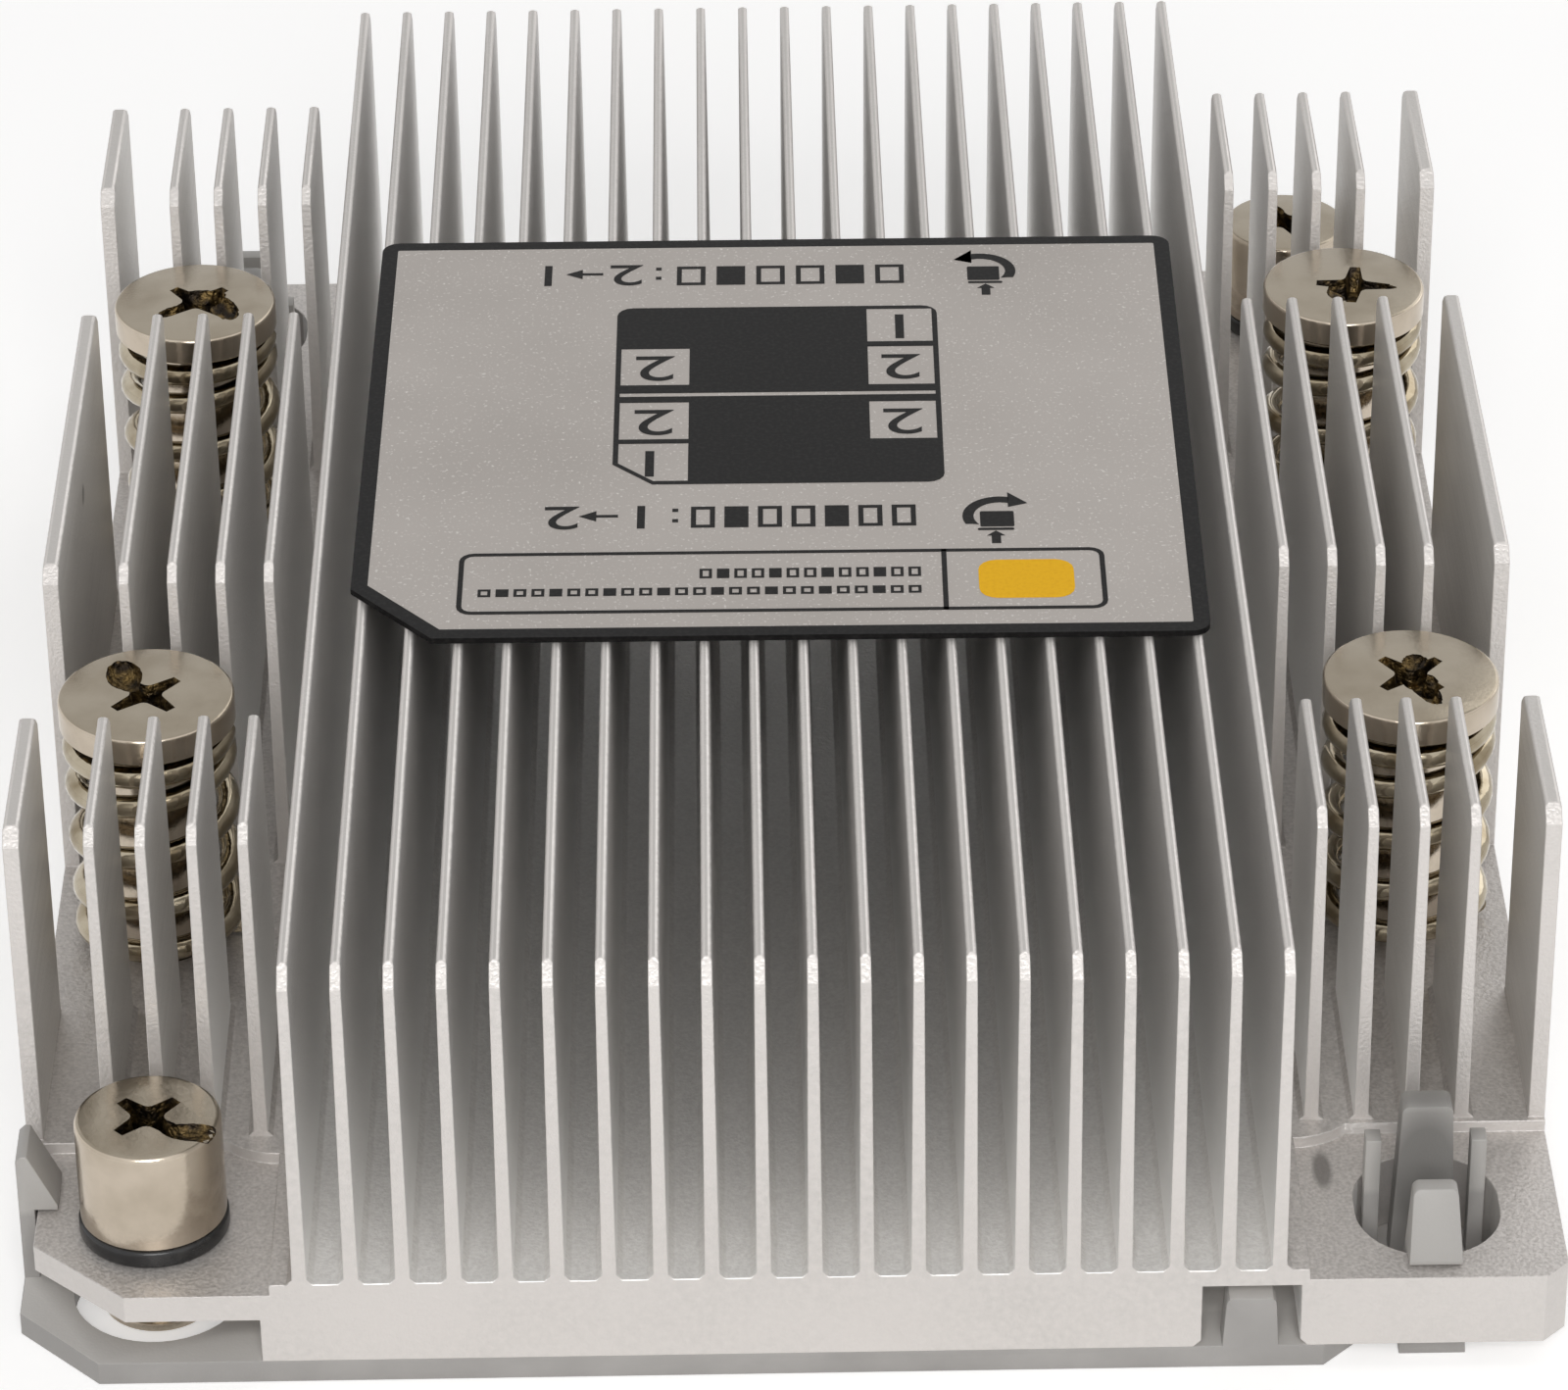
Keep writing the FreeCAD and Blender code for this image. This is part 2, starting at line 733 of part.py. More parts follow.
def make_carrier():
    body = new_body("carrier")
    carrier_plate(body)
    carrier_hooks(body)
    carrier_tongues(body)
    carrier_latches(body)
    return body


# ---------------------------------------------------------------- label
def make_label():
    body = new_body("label")
    sketch = new_sketch(body, "labelFilm", "XY_Plane", FIN_TOP)
    half_x = total(BLOCK_EDGE, "-labelInset")
    half_y = share("labelLength", 0.5)
    inner_x = total(half_x, "-labelRound")
    inner_y = total(half_y, "-labelRound")
    radius = "sizes.labelRound"
    corners = [
        (f"-({half_x} - sizes.labelChamferWidth)", f"-{half_y}"),
        (inner_x, f"-{half_y}", radius, 1),
        (half_x, f"-{inner_y}"),
        (half_x, inner_y, radius, 1),
        (inner_x, half_y),
        (f"-{inner_x}", half_y, radius, 1),
        (f"-{half_x}", inner_y),
        (f"-{half_x}", f"-({half_y} - sizes.labelChamferLength)"),
    ]
    outline(sketch, corners)
    pad(body, sketch, "sizes.labelThickness")
    place(body, "sizes.labelShiftX", "sizes.labelShiftY")
    return body


# ---------------------------------------------------------------- screws
def cross_recess(body, name, top, reach, width, depth):
    """A cross for the driver, sunk into the head."""
    half = share(width, 0.5)
    arm = total(reach)
    corners = [
        (half, half), (half, arm), (f"-{half}", arm), (f"-{half}", half),
        (f"-{arm}", half), (f"-{arm}", f"-{half}"), (f"-{half}", f"-{half}"),
        (f"-{half}", f"-{arm}"), (half, f"-{arm}"), (half, f"-{half}"),
        (arm, f"-{half}"), (arm, half),
    ]
    sketch = new_sketch(body, name, "XY_Plane", top)
    outline(sketch, corners)
    pocket(body, sketch, f"sizes.{depth}")


def make_spring_screw(name, x, y):
    """Broad head, shank through the base, ring groove, collar and thread."""
    body = new_body(f"spring_screw_{name}")
    head_top = total(HEAD_UNDERSIDE, "springHeadHeight")
    groove = total("shankRadius", "-grooveDepth")
    groove_foot = total(RING_SEAT, "-ringThickness", share("ringPlay", -2))
    collar_foot = total(groove_foot, "-collarHeight")
    profile = [
        ("0", "sizes.tipHeight"),
        ("sizes.threadRadius", "sizes.tipHeight"),
        ("sizes.threadRadius", collar_foot),
        ("sizes.shankRadius", collar_foot),
        ("sizes.shankRadius", groove_foot),
        (groove, groove_foot),
        (groove, RING_SEAT),
        ("sizes.shankRadius", RING_SEAT),
        ("sizes.shankRadius", HEAD_UNDERSIDE),
        ("sizes.springHeadRadius", HEAD_UNDERSIDE),
        ("sizes.springHeadRadius", total(head_top, "-headEdge")),
        (total("springHeadRadius", "-headEdge"), head_top),
        ("0", head_top),
    ]
    sketch = new_sketch(body, f"screwTurned_{name}", "XZ_Plane")
    outline(sketch, profile)
    revolve(body, sketch)
    cross_recess(body, f"drive_{name}", head_top, "recessReach", "recessWidth", "recessDepth")
    place(body, x, y)
    return body


def make_spring_ring(name, x, y):
    """A split ring snapped into the groove, under the heatsink."""
    body = new_body(f"spring_screw_ring_{name}")
    foot = total(RING_SEAT, "-ringThickness", "-ringPlay")
    ring = new_sketch(body, f"ringFlat_{name}", "XY_Plane", foot)
    circle(ring, "0", "0", "sizes.ringRadius")
    circle(ring, "0", "0", total("shankRadius", "-grooveDepth", "ringPlay"))
    pad(body, ring, "sizes.ringThickness")
    mouth = new_sketch(body, f"ringMouth_{name}", "XY_Plane", foot)
    half = share("ringMouth", 0.5)
    rectangle(mouth, "0", f"-{half}", total("ringRadius", "cutMargin"), half)
    pocket(body, mouth, reverse=True)
    place(body, x, y)
    return body


def make_lock_screw(name, x, y):
    """Tall round cap on a plain shank, threaded inside from below, which a
    small ring holds captive."""
    body = new_body(f"lock_screw_{name}")
    cap_foot = total(PAD_TOP, "washerHeight")
    cap_top = total(cap_foot, "capHeight")
    groove = total("lockShankRadius", "-grooveDepth")
    groove_foot = total("tipHeight", "tipLead")
    groove_top = total(groove_foot, "lockRingThickness", share("ringPlay", 2))
    thread_top = total("tipHeight", "lockThreadDepth")
    profile = [
        ("0", thread_top),
        ("sizes.lockThreadRadius", thread_top),
        ("sizes.lockThreadRadius", "sizes.tipHeight"),
        (total("lockTipRadius", share("tipLead", -0.5)), "sizes.tipHeight"),
        ("sizes.lockTipRadius", total("tipHeight", share("tipLead", 0.5))),
        ("sizes.lockTipRadius", groove_foot),
        (groove, groove_foot),
        (groove, groove_top),
        ("sizes.lockShankRadius", groove_top),
        ("sizes.lockShankRadius", cap_foot),
        ("sizes.capRadius", cap_foot),
        ("sizes.capRadius", total(cap_top, "-capEdge")),
        (total("capRadius", "-capEdge"), cap_top),
        ("0", cap_top),
    ]
    sketch = new_sketch(body, f"lockTurned_{name}", "XZ_Plane")
    outline(sketch, profile)
    revolve(body, sketch)
    cross_recess(body, f"lockDrive_{name}", cap_top, "capRecessReach", "recessWidth", "capRecessDepth")
    place(body, x, y)
    return body


def make_lock_washer(name, x, y):
    body = new_body(f"lock_washer_{name}")
    flat = new_sketch(body, f"washerFlat_{name}", "XY_Plane", PAD_TOP)
    circle(flat, "0", "0", "sizes.washerRadius")
    circle(flat, "0", "0", LOCK_HOLE)
    pad(body, flat, "sizes.washerHeight")
    place(body, x, y)
    return body


def make_lock_ring(name, x, y):
    body = new_body(f"lock_screw_ring_{name}")
    foot = total("tipHeight", "tipLead", "ringPlay")
    ring = new_sketch(body, f"lockRingFlat_{name}", "XY_Plane", foot)
    circle(ring, "0", "0", "sizes.lockRingRadius")
    circle(ring, "0", "0", total("lockShankRadius", "-grooveDepth", "ringPlay"))
    pad(body, ring, "sizes.lockRingThickness")
    place(body, x, y)
    return body


# ---------------------------------------------------------------- springs
def spring_path(floor, radius):
    """Points up the wire's centre line: a closed coil, open coils, a closed coil."""
    steps = int(sheet.coilSteps)
    rise = sheet.springHeight - sheet.springWire
    open_pitch = (rise - 2 * sheet.closedPitch) / sheet.springCoils
    pitches = [sheet.closedPitch] + [open_pitch] * int(sheet.springCoils) + [sheet.closedPitch]
    height = floor + sheet.springSeatGap + sheet.springWire / 2
    points = [Vector(radius, 0, height)]
    for pitch in pitches:
        for step in range(1, steps + 1):
            angle = 2 * math.pi * step / steps
            height += pitch / steps
            points.append(Vector(radius * math.cos(angle), radius * math.sin(angle), height))
    return points


def make_spring(name, x, y):
    """Wire wound to a helix, straight between the bends of each coil."""
    floor = sheet.carrierThickness + sheet.baseThickness
    radius = sheet.springRadius - sheet.springWire / 2
    points = spring_path(floor, radius)
    section = []
    sides = int(sheet.wireSides)
    for step in range(sides + 1):
        angle = 2 * math.pi * step / sides
        out = sheet.springWire / 2 * math.cos(angle)
        up = sheet.springWire / 2 * math.sin(angle)
        section.append(points[0] + Vector(out, 0, up))
    sweep = Part.BRepOffsetAPI.MakePipeShell(Part.makePolygon(points))
    sweep.setFrenetMode(False)
    sweep.setTransitionMode(1)
    sweep.add(Part.makePolygon(section))
    sweep.build()
    sweep.makeSolid()
    spring = doc.addObject("Part::Feature", f"spring_{name}")
    spring.Label = f"spring_{name}"
    spring.Shape = sweep.shape()
    place(spring, x, y)
    return spring


# ---------------------------------------------------------------- assembly
parts = [make_heatsink(), make_carrier(), make_label()]
for end, end_name in ((-1, "front"), (1, "back")):
    for side, side_name in ((-1, "left"), (1, "right")):
        name = f"{end_name}_{side_name}"
        x = f"{side} * {SPRING_X}"
        y = f"{end} * {SPRING_Y}"
        parts.append(make_spring_screw(name, x, y))
        parts.append(make_spring_ring(name, x, y))
        parts.append(make_spring(name, x, y))
for turn, name in ((-1, "front_left"), (1, "back_right")):
    x = f"{turn} * {LOCK_X}"
    y = f"{turn} * {CORNER_Y}"
    parts.append(make_lock_screw(name, x, y))
    parts.append(make_lock_washer(name, x, y))
    parts.append(make_lock_ring(name, x, y))
doc.recompute()

for item in doc.Objects:
    if "Invalid" in item.State or "Error" in item.State:
        raise RuntimeError(f"{item.Label} failed: {item.State}")
for part in parts:
    if part.Shape.isNull() or not part.Shape.isValid() or len(part.Shape.Solids) != 1:
        raise RuntimeError(f"{part.Label} has no single valid solid")

os.makedirs("parts", exist_ok=True)
for part in parts:
    part.Shape.exportStep(f"parts/{part.Label}.step")
    print(part.Label, round(part.Shape.Volume, 2))
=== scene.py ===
import json
import math

import bpy
from mathutils import Matrix, Vector

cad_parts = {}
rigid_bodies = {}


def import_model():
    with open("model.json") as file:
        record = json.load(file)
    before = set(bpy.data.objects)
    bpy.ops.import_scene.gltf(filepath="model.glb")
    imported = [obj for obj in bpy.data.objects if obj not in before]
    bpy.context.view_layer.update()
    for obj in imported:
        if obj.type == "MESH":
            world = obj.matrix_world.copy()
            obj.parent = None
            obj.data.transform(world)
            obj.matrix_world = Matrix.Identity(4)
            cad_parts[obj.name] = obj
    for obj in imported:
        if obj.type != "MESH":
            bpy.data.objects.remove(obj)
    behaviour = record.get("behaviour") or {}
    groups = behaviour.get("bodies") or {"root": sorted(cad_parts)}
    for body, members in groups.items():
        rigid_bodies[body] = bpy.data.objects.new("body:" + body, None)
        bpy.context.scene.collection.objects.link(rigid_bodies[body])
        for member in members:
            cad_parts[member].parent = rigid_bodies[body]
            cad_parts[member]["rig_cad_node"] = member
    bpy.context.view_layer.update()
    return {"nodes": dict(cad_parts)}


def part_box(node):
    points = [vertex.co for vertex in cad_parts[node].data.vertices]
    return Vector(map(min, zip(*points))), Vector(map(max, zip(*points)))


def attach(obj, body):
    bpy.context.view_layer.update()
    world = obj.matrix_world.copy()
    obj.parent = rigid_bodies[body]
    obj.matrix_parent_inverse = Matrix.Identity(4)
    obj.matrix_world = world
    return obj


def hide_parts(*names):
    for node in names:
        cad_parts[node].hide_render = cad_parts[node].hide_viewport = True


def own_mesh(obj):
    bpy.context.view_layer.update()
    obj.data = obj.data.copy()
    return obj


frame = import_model()
nodes = frame["nodes"]
mm = 0.001
mergeDistance = 0.001 * mm
springCorners = ("front_left", "front_right", "back_left", "back_right")
lockCorners = ("front_left", "back_right")
print("frame loaded")


# small tools

def clearSelection():
    active = bpy.context.view_layer.objects.active
    if active and active.mode != "OBJECT":
        bpy.ops.object.mode_set(mode="OBJECT")
    bpy.ops.object.select_all(action="DESELECT")


def nameActive(name):
    piece = bpy.context.view_layer.objects.active
    piece.name = name
    piece.data.name = name
    return piece


def makeActive(piece):
    clearSelection()
    piece.select_set(True)
    bpy.context.view_layer.objects.active = piece


def newPiece(name, operator, **settings):
    clearSelection()
    operator(**settings)
    return nameActive(name)


def applyModifier(piece, kind, **settings):
    makeActive(piece)
    modifier = piece.modifiers.new("applied", kind)
    for name, value in settings.items():
        setattr(modifier, name, value)
    bpy.ops.object.modifier_apply(modifier=modifier.name)


def openEdit(piece, kind=None, action="SELECT"):
    makeActive(piece)
    bpy.ops.object.mode_set(mode="EDIT")
    if kind:
        bpy.ops.mesh.select_mode(type=kind)
    bpy.ops.mesh.select_all(action=action)


def closeEdit():
    bpy.ops.object.mode_set(mode="OBJECT")


# opens the piece with only the wanted faces, edges or points selected
def pick(piece, kind, wanted):
    openEdit(piece, kind, "DESELECT")
    closeEdit()
    mesh = piece.data
    for part in {"FACE": mesh.polygons, "EDGE": mesh.edges, "VERT": mesh.vertices}[kind]:
        part.select = wanted(part)
    bpy.ops.object.mode_set(mode="EDIT")


def settle(piece):
    makeActive(piece)
    bpy.ops.object.transform_apply(location=True, rotation=True, scale=True)


def faceOutwards(piece):
    openEdit(piece)
    bpy.ops.mesh.remove_doubles(threshold=mergeDistance)
    bpy.ops.mesh.normals_make_consistent(inside=False)
    closeEdit()


def smoothByAngle(piece, degrees):
    makeActive(piece)
    bpy.ops.object.shade_smooth_by_angle(angle=math.radians(degrees))


def joined(pieces, name):
    clearSelection()
    for piece in pieces:
        piece.select_set(True)
    bpy.context.view_layer.objects.active = pieces[0]
    bpy.ops.object.join()
    return nameActive(name)


def cutAway(piece, cutter):
    applyModifier(piece, "BOOLEAN", operation="DIFFERENCE", solver="EXACT", object=cutter)
    bpy.data.objects.remove(cutter)


def copyOf(piece, name):
    twin = piece.copy()
    twin.data = piece.data.copy()
    twin.name = name
    twin.data.name = name
    bpy.context.scene.collection.objects.link(twin)
    return twin


def movedCopy(piece, name, shift):
    twin = copyOf(piece, name)
    twin.data.transform(Matrix.Translation(shift))
    return twin


def axisOf(node):
    low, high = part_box(node)
    return (low.x + high.x) / 2, (low.y + high.y) / 2, low.z, high.z


# a turned piece grows ring by ring, along (radius, height) pairs
def turnedPiece(name, x, y, rings, segments):
    radius, height = rings[0]
    piece = newPiece(
        name, bpy.ops.mesh.primitive_circle_add,
        vertices=segments, radius=radius, fill_type="NGON", location=(x, y, height),
    )
    openEdit(piece, "FACE")
    for nextRadius, nextHeight in rings[1:]:
        bpy.ops.mesh.extrude_region_move(
            TRANSFORM_OT_translate={"value": (0, 0, nextHeight - height)}
        )
        factor = nextRadius / radius
        bpy.ops.transform.resize(value=(factor, factor, 1), center_override=(x, y, nextHeight))
        radius, height = nextRadius, nextHeight
    closeEdit()
    settle(piece)
    faceOutwards(piece)
    return piece


# a copy of a CAD node with its sharp edges broken
def softenedCopy(node, name, body, edge):
    piece = copyOf(nodes[node], name)
    piece.parent = None
    del piece["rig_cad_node"]
    openEdit(piece)
    bpy.ops.mesh.remove_doubles(threshold=mergeDistance)
    bpy.ops.mesh.dissolve_limited(angle_limit=math.radians(edge["flat"]))
    closeEdit()
    applyModifier(
        piece, "BEVEL", limit_method="ANGLE", angle_limit=math.radians(edge["sharp"]),
        width=edge["width"], segments=edge["segments"],
    )
    smoothByAngle(piece, edge["smooth"])
    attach(piece, body)
    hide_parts(node)
    return piece


# colours and finishes

def tone(red, green, blue):
    shades = []
    for level in (red / 255, green / 255, blue / 255):
        shades.append(level / 12.92 if level <= 0.04045 else ((level + 0.055) / 1.055) ** 2.4)
    return (*shades, 1.0)


def startGroup(name, inputs, outputs):
    group = bpy.data.node_groups.new(name, "ShaderNodeTree")
    for socketName, value in inputs.items():
        kind = "NodeSocketVector" if isinstance(value, tuple) else "NodeSocketFloat"
        socket = group.interface.new_socket(socketName, in_out="INPUT", socket_type=kind)
        socket.default_value = value
    for socketName in outputs:
        group.interface.new_socket(socketName, in_out="OUTPUT", socket_type="NodeSocketFloat")
    return group, group.nodes.new, group.links.new


# fine uneven texture: Stretch draws it out, Low and High set its contrast
def buildGrain():
    inputs = {"Stretch": (1, 1, 1), "Scale": 1000, "Detail": 2, "Low": 0.3, "High": 0.7}
    group, new, link = startGroup("fineGrain", inputs, ["Mask"])
    start = new("NodeGroupInput")
    place = new("ShaderNodeTexCoord")
    mapping = new("ShaderNodeMapping")
    noise = new("ShaderNodeTexNoise")
    spread = new("ShaderNodeMapRange")
    end = new("NodeGroupOutput")
    link(place.outputs["Object"], mapping.inputs["Vector"])
    link(start.outputs["Stretch"], mapping.inputs["Scale"])
    link(mapping.outputs["Vector"], noise.inputs["Vector"])
    link(start.outputs["Scale"], noise.inputs["Scale"])
    link(start.outputs["Detail"], noise.inputs["Detail"])
    link(noise.outputs["Fac"], spread.inputs["Value"])
    link(start.outputs["Low"], spread.inputs["From Min"])
    link(start.outputs["High"], spread.inputs["From Max"])
    link(spread.outputs["Result"], end.inputs["Mask"])
    return group


# which way a face looks, in the piece's own directions: Side is either way along X
def buildFacing():
    group, new, link = startGroup("facing", {}, ["Side", "Up"])
    place = new("ShaderNodeTexCoord")
    split = new("ShaderNodeSeparateXYZ")
    size = new("ShaderNodeMath")
    size.operation = "ABSOLUTE"
    end = new("NodeGroupOutput")
    link(place.outputs["Normal"], split.inputs["Vector"])
    link(split.outputs["X"], size.inputs[0])
    link(size.outputs[0], end.inputs["Side"])
    link(split.outputs["Z"], end.inputs["Up"])
    return group


# 0 above Level, rising to 1 over the depth Blur below it
def buildBelow():
    group, new, link = startGroup("belowLevel", {"Level": 0, "Blur": 0.1 * mm}, ["Mask"])
    start = new("NodeGroupInput")
    place = new("ShaderNodeTexCoord")
    split = new("ShaderNodeSeparateXYZ")
    under = new("ShaderNodeMath")
    under.operation = "SUBTRACT"
    soft = new("ShaderNodeMath")
    soft.operation = "DIVIDE"
    soft.use_clamp = True
    end = new("NodeGroupOutput")
    link(place.outputs["Object"], split.inputs["Vector"])
    link(start.outputs["Level"], under.inputs[0])
    link(split.outputs["Z"], under.inputs[1])
    link(under.outputs[0], soft.inputs[0])
    link(start.outputs["Blur"], soft.inputs[1])
    link(soft.outputs[0], end.inputs["Mask"])
    return group


grainGroup = buildGrain()
facingGroup = buildFacing()
belowGroup = buildBelow()


class Finish:
    def __init__(self, name, colour, metallic, roughness):
        self.material = bpy.data.materials.new(name)
        self.material.use_nodes = True
        tree = self.material.node_tree
        self.new = tree.nodes.new
        self.link = tree.links.new
        self.shader = tree.nodes["Principled BSDF"]
        self.shader.inputs["Base Color"].default_value = colour
        self.shader.inputs["Metallic"].default_value = metallic
        self.shader.inputs["Roughness"].default_value = roughness

    def group(self, group, **values):
        node = self.new("ShaderNodeGroup")
        node.node_tree = group
        for name, value in values.items():
            node.inputs[name].default_value = value
        return node.outputs

    def grain(self, scale, stretch=(1, 1, 1), detail=2, low=0.3, high=0.7):
        made = self.group(
            grainGroup, Scale=scale, Stretch=stretch, Detail=detail, Low=low, High=high
        )
        return made["Mask"]

    # a socket is given a plain value or another node's output
    def give(self, socket, value):
        if isinstance(value, (int, float, tuple)):
            socket.default_value = value
        else:
            self.link(value, socket)

    def math(self, operation, first, second):
        node = self.new("ShaderNodeMath")
        node.operation = operation
        node.use_clamp = True
        for socket, value in zip(node.inputs, (first, second)):
            self.give(socket, value)
        return node.outputs[0]

    def over(self, value, limit):
        return self.math("GREATER_THAN", value, limit)

    def blend(self, mask, low, high):
        node = self.new("ShaderNodeMix")
        node.data_type = "RGBA"
        self.link(mask, node.inputs["Factor"])
        for name, value in (("A", low), ("B", high)):
            socket = [s for s in node.inputs if s.name == name and s.type == "RGBA"][0]
            self.give(socket, value)
        return [s for s in node.outputs if s.type == "RGBA"][0]

    def between(self, mask, low, high):
        node = self.new("ShaderNodeMapRange")
        node.inputs["To Min"].default_value = low
        node.inputs["To Max"].default_value = high
        self.link(mask, node.inputs["Value"])
        return node.outputs["Result"]

    # 1 beyond this distance left or right of the middle, 0 nearer in
    def outside(self, distance):
        here = self.new("ShaderNodeTexCoord")
        split = self.new("ShaderNodeSeparateXYZ")
        across = self.new("ShaderNodeMath")
        across.operation = "ABSOLUTE"
        self.link(here.outputs["Object"], split.inputs["Vector"])
        self.link(split.outputs["X"], across.inputs[0])
        return self.over(across.outputs[0], distance)

    # 1 within an oval round a place, fading to 0 at its edge
    def spot(self, place, size):
        here = self.new("ShaderNodeTexCoord")
        fit = self.new("ShaderNodeMapping")
        reach = self.new("ShaderNodeVectorMath")
        reach.operation = "LENGTH"
        fade = self.new("ShaderNodeMapRange")
        fit.inputs["Scale"].default_value = [1 / one for one in size]
        fit.inputs["Location"].default_value = [-at / one for at, one in zip(place, size)]
        for name, value in (("From Min", 0.7), ("From Max", 1.2), ("To Min", 1), ("To Max", 0)):
            fade.inputs[name].default_value = value
        self.link(here.outputs["Object"], fit.inputs["Vector"])
        self.link(fit.outputs["Vector"], reach.inputs[0])
        self.link(reach.outputs["Value"], fade.inputs["Value"])
        return fade.outputs["Result"]

    def feed(self, socketName, output):
        self.link(output, self.shader.inputs[socketName])

    def relief(self, height, depth, strength):
        bump = self.new("ShaderNodeBump")
        bump.inputs["Strength"].default_value = strength
        bump.inputs["Distance"].default_value = depth
        self.link(height, bump.inputs["Height"])
        self.feed("Normal", bump.outputs["Normal"])


aluminiumLook = {
    "bright": tone(218, 213, 209),
    "dull": tone(206, 202, 198),
    # the fin flanks' own tones: darker than the ends near the fin tips as painted shade, near
    # white at the fin feet as painted light
    "flankPaintedShading": tone(206, 203, 200),
    "flankPaintedShadingDull": tone(196, 193, 190),
    "flankFeetPaintedLight": tone(254, 253, 251),
    # near white tones for the floors of the gaps between the fins: painted light
    "channelPaintedLight": tone(248, 246, 243),
    "channelPaintedLightDull": tone(232, 229, 226),
    "channelTo": 24.7 * mm,
    "finHeight": 19 * mm,
    "wing": tone(222, 219, 215),
    "wingDull": tone(210, 207, 203),
    "wingFrom": 30.3 * mm,
    "blasted": tone(212, 207, 203),
    "pitted": tone(180, 175, 171),
    # darker tone for the upward fin tips: painted shade
    "tip": tone(196, 192, 188),
    "stain": tone(120, 116, 112),
    "stainDepth": 0.8,
    "spots": [
        {"place": (27.6 * mm, -43.7 * mm, 5.45 * mm), "size": (0.5 * mm, 1.6 * mm, 0.5 * mm)},
        {"place": (-38.9 * mm, 0.5 * mm, 21.0 * mm), "size": (0.8 * mm, 0.7 * mm, 0.6 * mm)},
    ],
    "millMargin": 0.3 * mm,
    "millBlur": 0.1 * mm,
    "upFrom": 0.5,
    "tipFrom": 0.99,
    "sideFrom": 0.9,
    "drawnLines": 2600,
    "drawnStretch": (1, 0.02, 1),
    "blastSize": 5000,
    "cloudSize": 90,
    "cloudLow": 0.35,
    "cloudHigh": 0.65,
    "metallic": 0.4,
    "roughLow": 0.34,
    "roughHigh": 0.52,
    "reliefDepth": 0.05 * mm,
    "reliefStrength": 0.35,
}


def makeAluminium(floorLevel):
    look = aluminiumLook
    finish = Finish("satinAluminium", look["bright"], look["metallic"], look["roughLow"])
    facing = finish.group(facingGroup)
    lines = finish.grain(look["drawnLines"], stretch=look["drawnStretch"], detail=3)
    blast = finish.grain(look["blastSize"], detail=3)
    cloud = finish.grain(look["cloudSize"], detail=4, low=look["cloudLow"], high=look["cloudHigh"])
    streaks = finish.math("MULTIPLY", lines, cloud)
    # fin flanks, darker near their tips as painted shade and near white at their feet as painted
    # light, and the wings' flanks
    tipLevel = floorLevel + look["finHeight"]
    deep = finish.group(belowGroup, Level=tipLevel, Blur=look["finHeight"])["Mask"]
    flankPaintedShading = finish.blend(streaks, look["flankPaintedShading"], look["flankPaintedShadingDull"])
    flankPaintedShading = finish.blend(deep, flankPaintedShading, look["flankFeetPaintedLight"])
    wing = finish.blend(streaks, look["wing"], look["wingDull"])
    flankPaintedShading = finish.blend(finish.outside(look["wingFrom"]), flankPaintedShading, wing)
    # ends and flanks carry the drawn lines; the upward fin tips take one plain darker tone,
    # painted shade
    drawn = finish.blend(streaks, look["bright"], look["dull"])
    drawn = finish.blend(finish.over(facing["Side"], look["sideFrom"]), drawn, flankPaintedShading)
    drawn = finish.blend(finish.over(facing["Up"], look["tipFrom"]), drawn, look["tip"])
    # milled pads and wells, and the floors of the gaps between the fins, made near white there as
    # painted light
    pads = finish.blend(blast, look["pitted"], look["blasted"])
    channelPaintedLight = finish.blend(blast, look["channelPaintedLightDull"], look["channelPaintedLight"])
    floors = finish.blend(finish.outside(look["channelTo"]), channelPaintedLight, pads)
    millLevel = floorLevel + look["millMargin"]
    low = finish.group(belowGroup, Level=millLevel, Blur=look["millBlur"])["Mask"]
    milled = finish.math("MULTIPLY", low, finish.over(facing["Up"], look["upFrom"]))
    colour = finish.blend(milled, drawn, floors)
    for spot in look["spots"]:
        mark = finish.spot(spot["place"], spot["size"])
        mark = finish.math("MULTIPLY", mark, look["stainDepth"])
        colour = finish.blend(mark, colour, look["stain"])
    finish.feed("Base Color", colour)
    finish.feed("Roughness", finish.between(blast, look["roughLow"], look["roughHigh"]))
    finish.relief(blast, look["reliefDepth"], look["reliefStrength"])
    return finish.material


plasticLook = {
    "colour": tone(160, 157, 154),
    "rubbed": tone(172, 169, 166),
    # lighter tone for upward faces: painted light
    "plateTopPaintedLight": tone(204, 201, 197),
    # lighter tone for everything above lugFrom, the latches and lugs: painted light
    "lugPaintedLight": tone(180, 177, 173),
    "lugFrom": 5.6 * mm,
    "lugBlur": 0.4 * mm,
    "upFrom": 0.8,
    # darker tone round the two latch posts: painted shade
    "post": tone(126, 124, 121),
    "posts": [(32.7 * mm, -44.9 * mm, 6.6 * mm), (-32.7 * mm, 44.9 * mm, 6.6 * mm)],
    "postReach": (2.6 * mm, 1.6 * mm, 5.0 * mm),
    "grainSize": 6000,
    "cloudSize": 200,
    "roughness": 0.46,
    "reliefDepth": 0.02 * mm,
    "reliefStrength": 0.25,
}


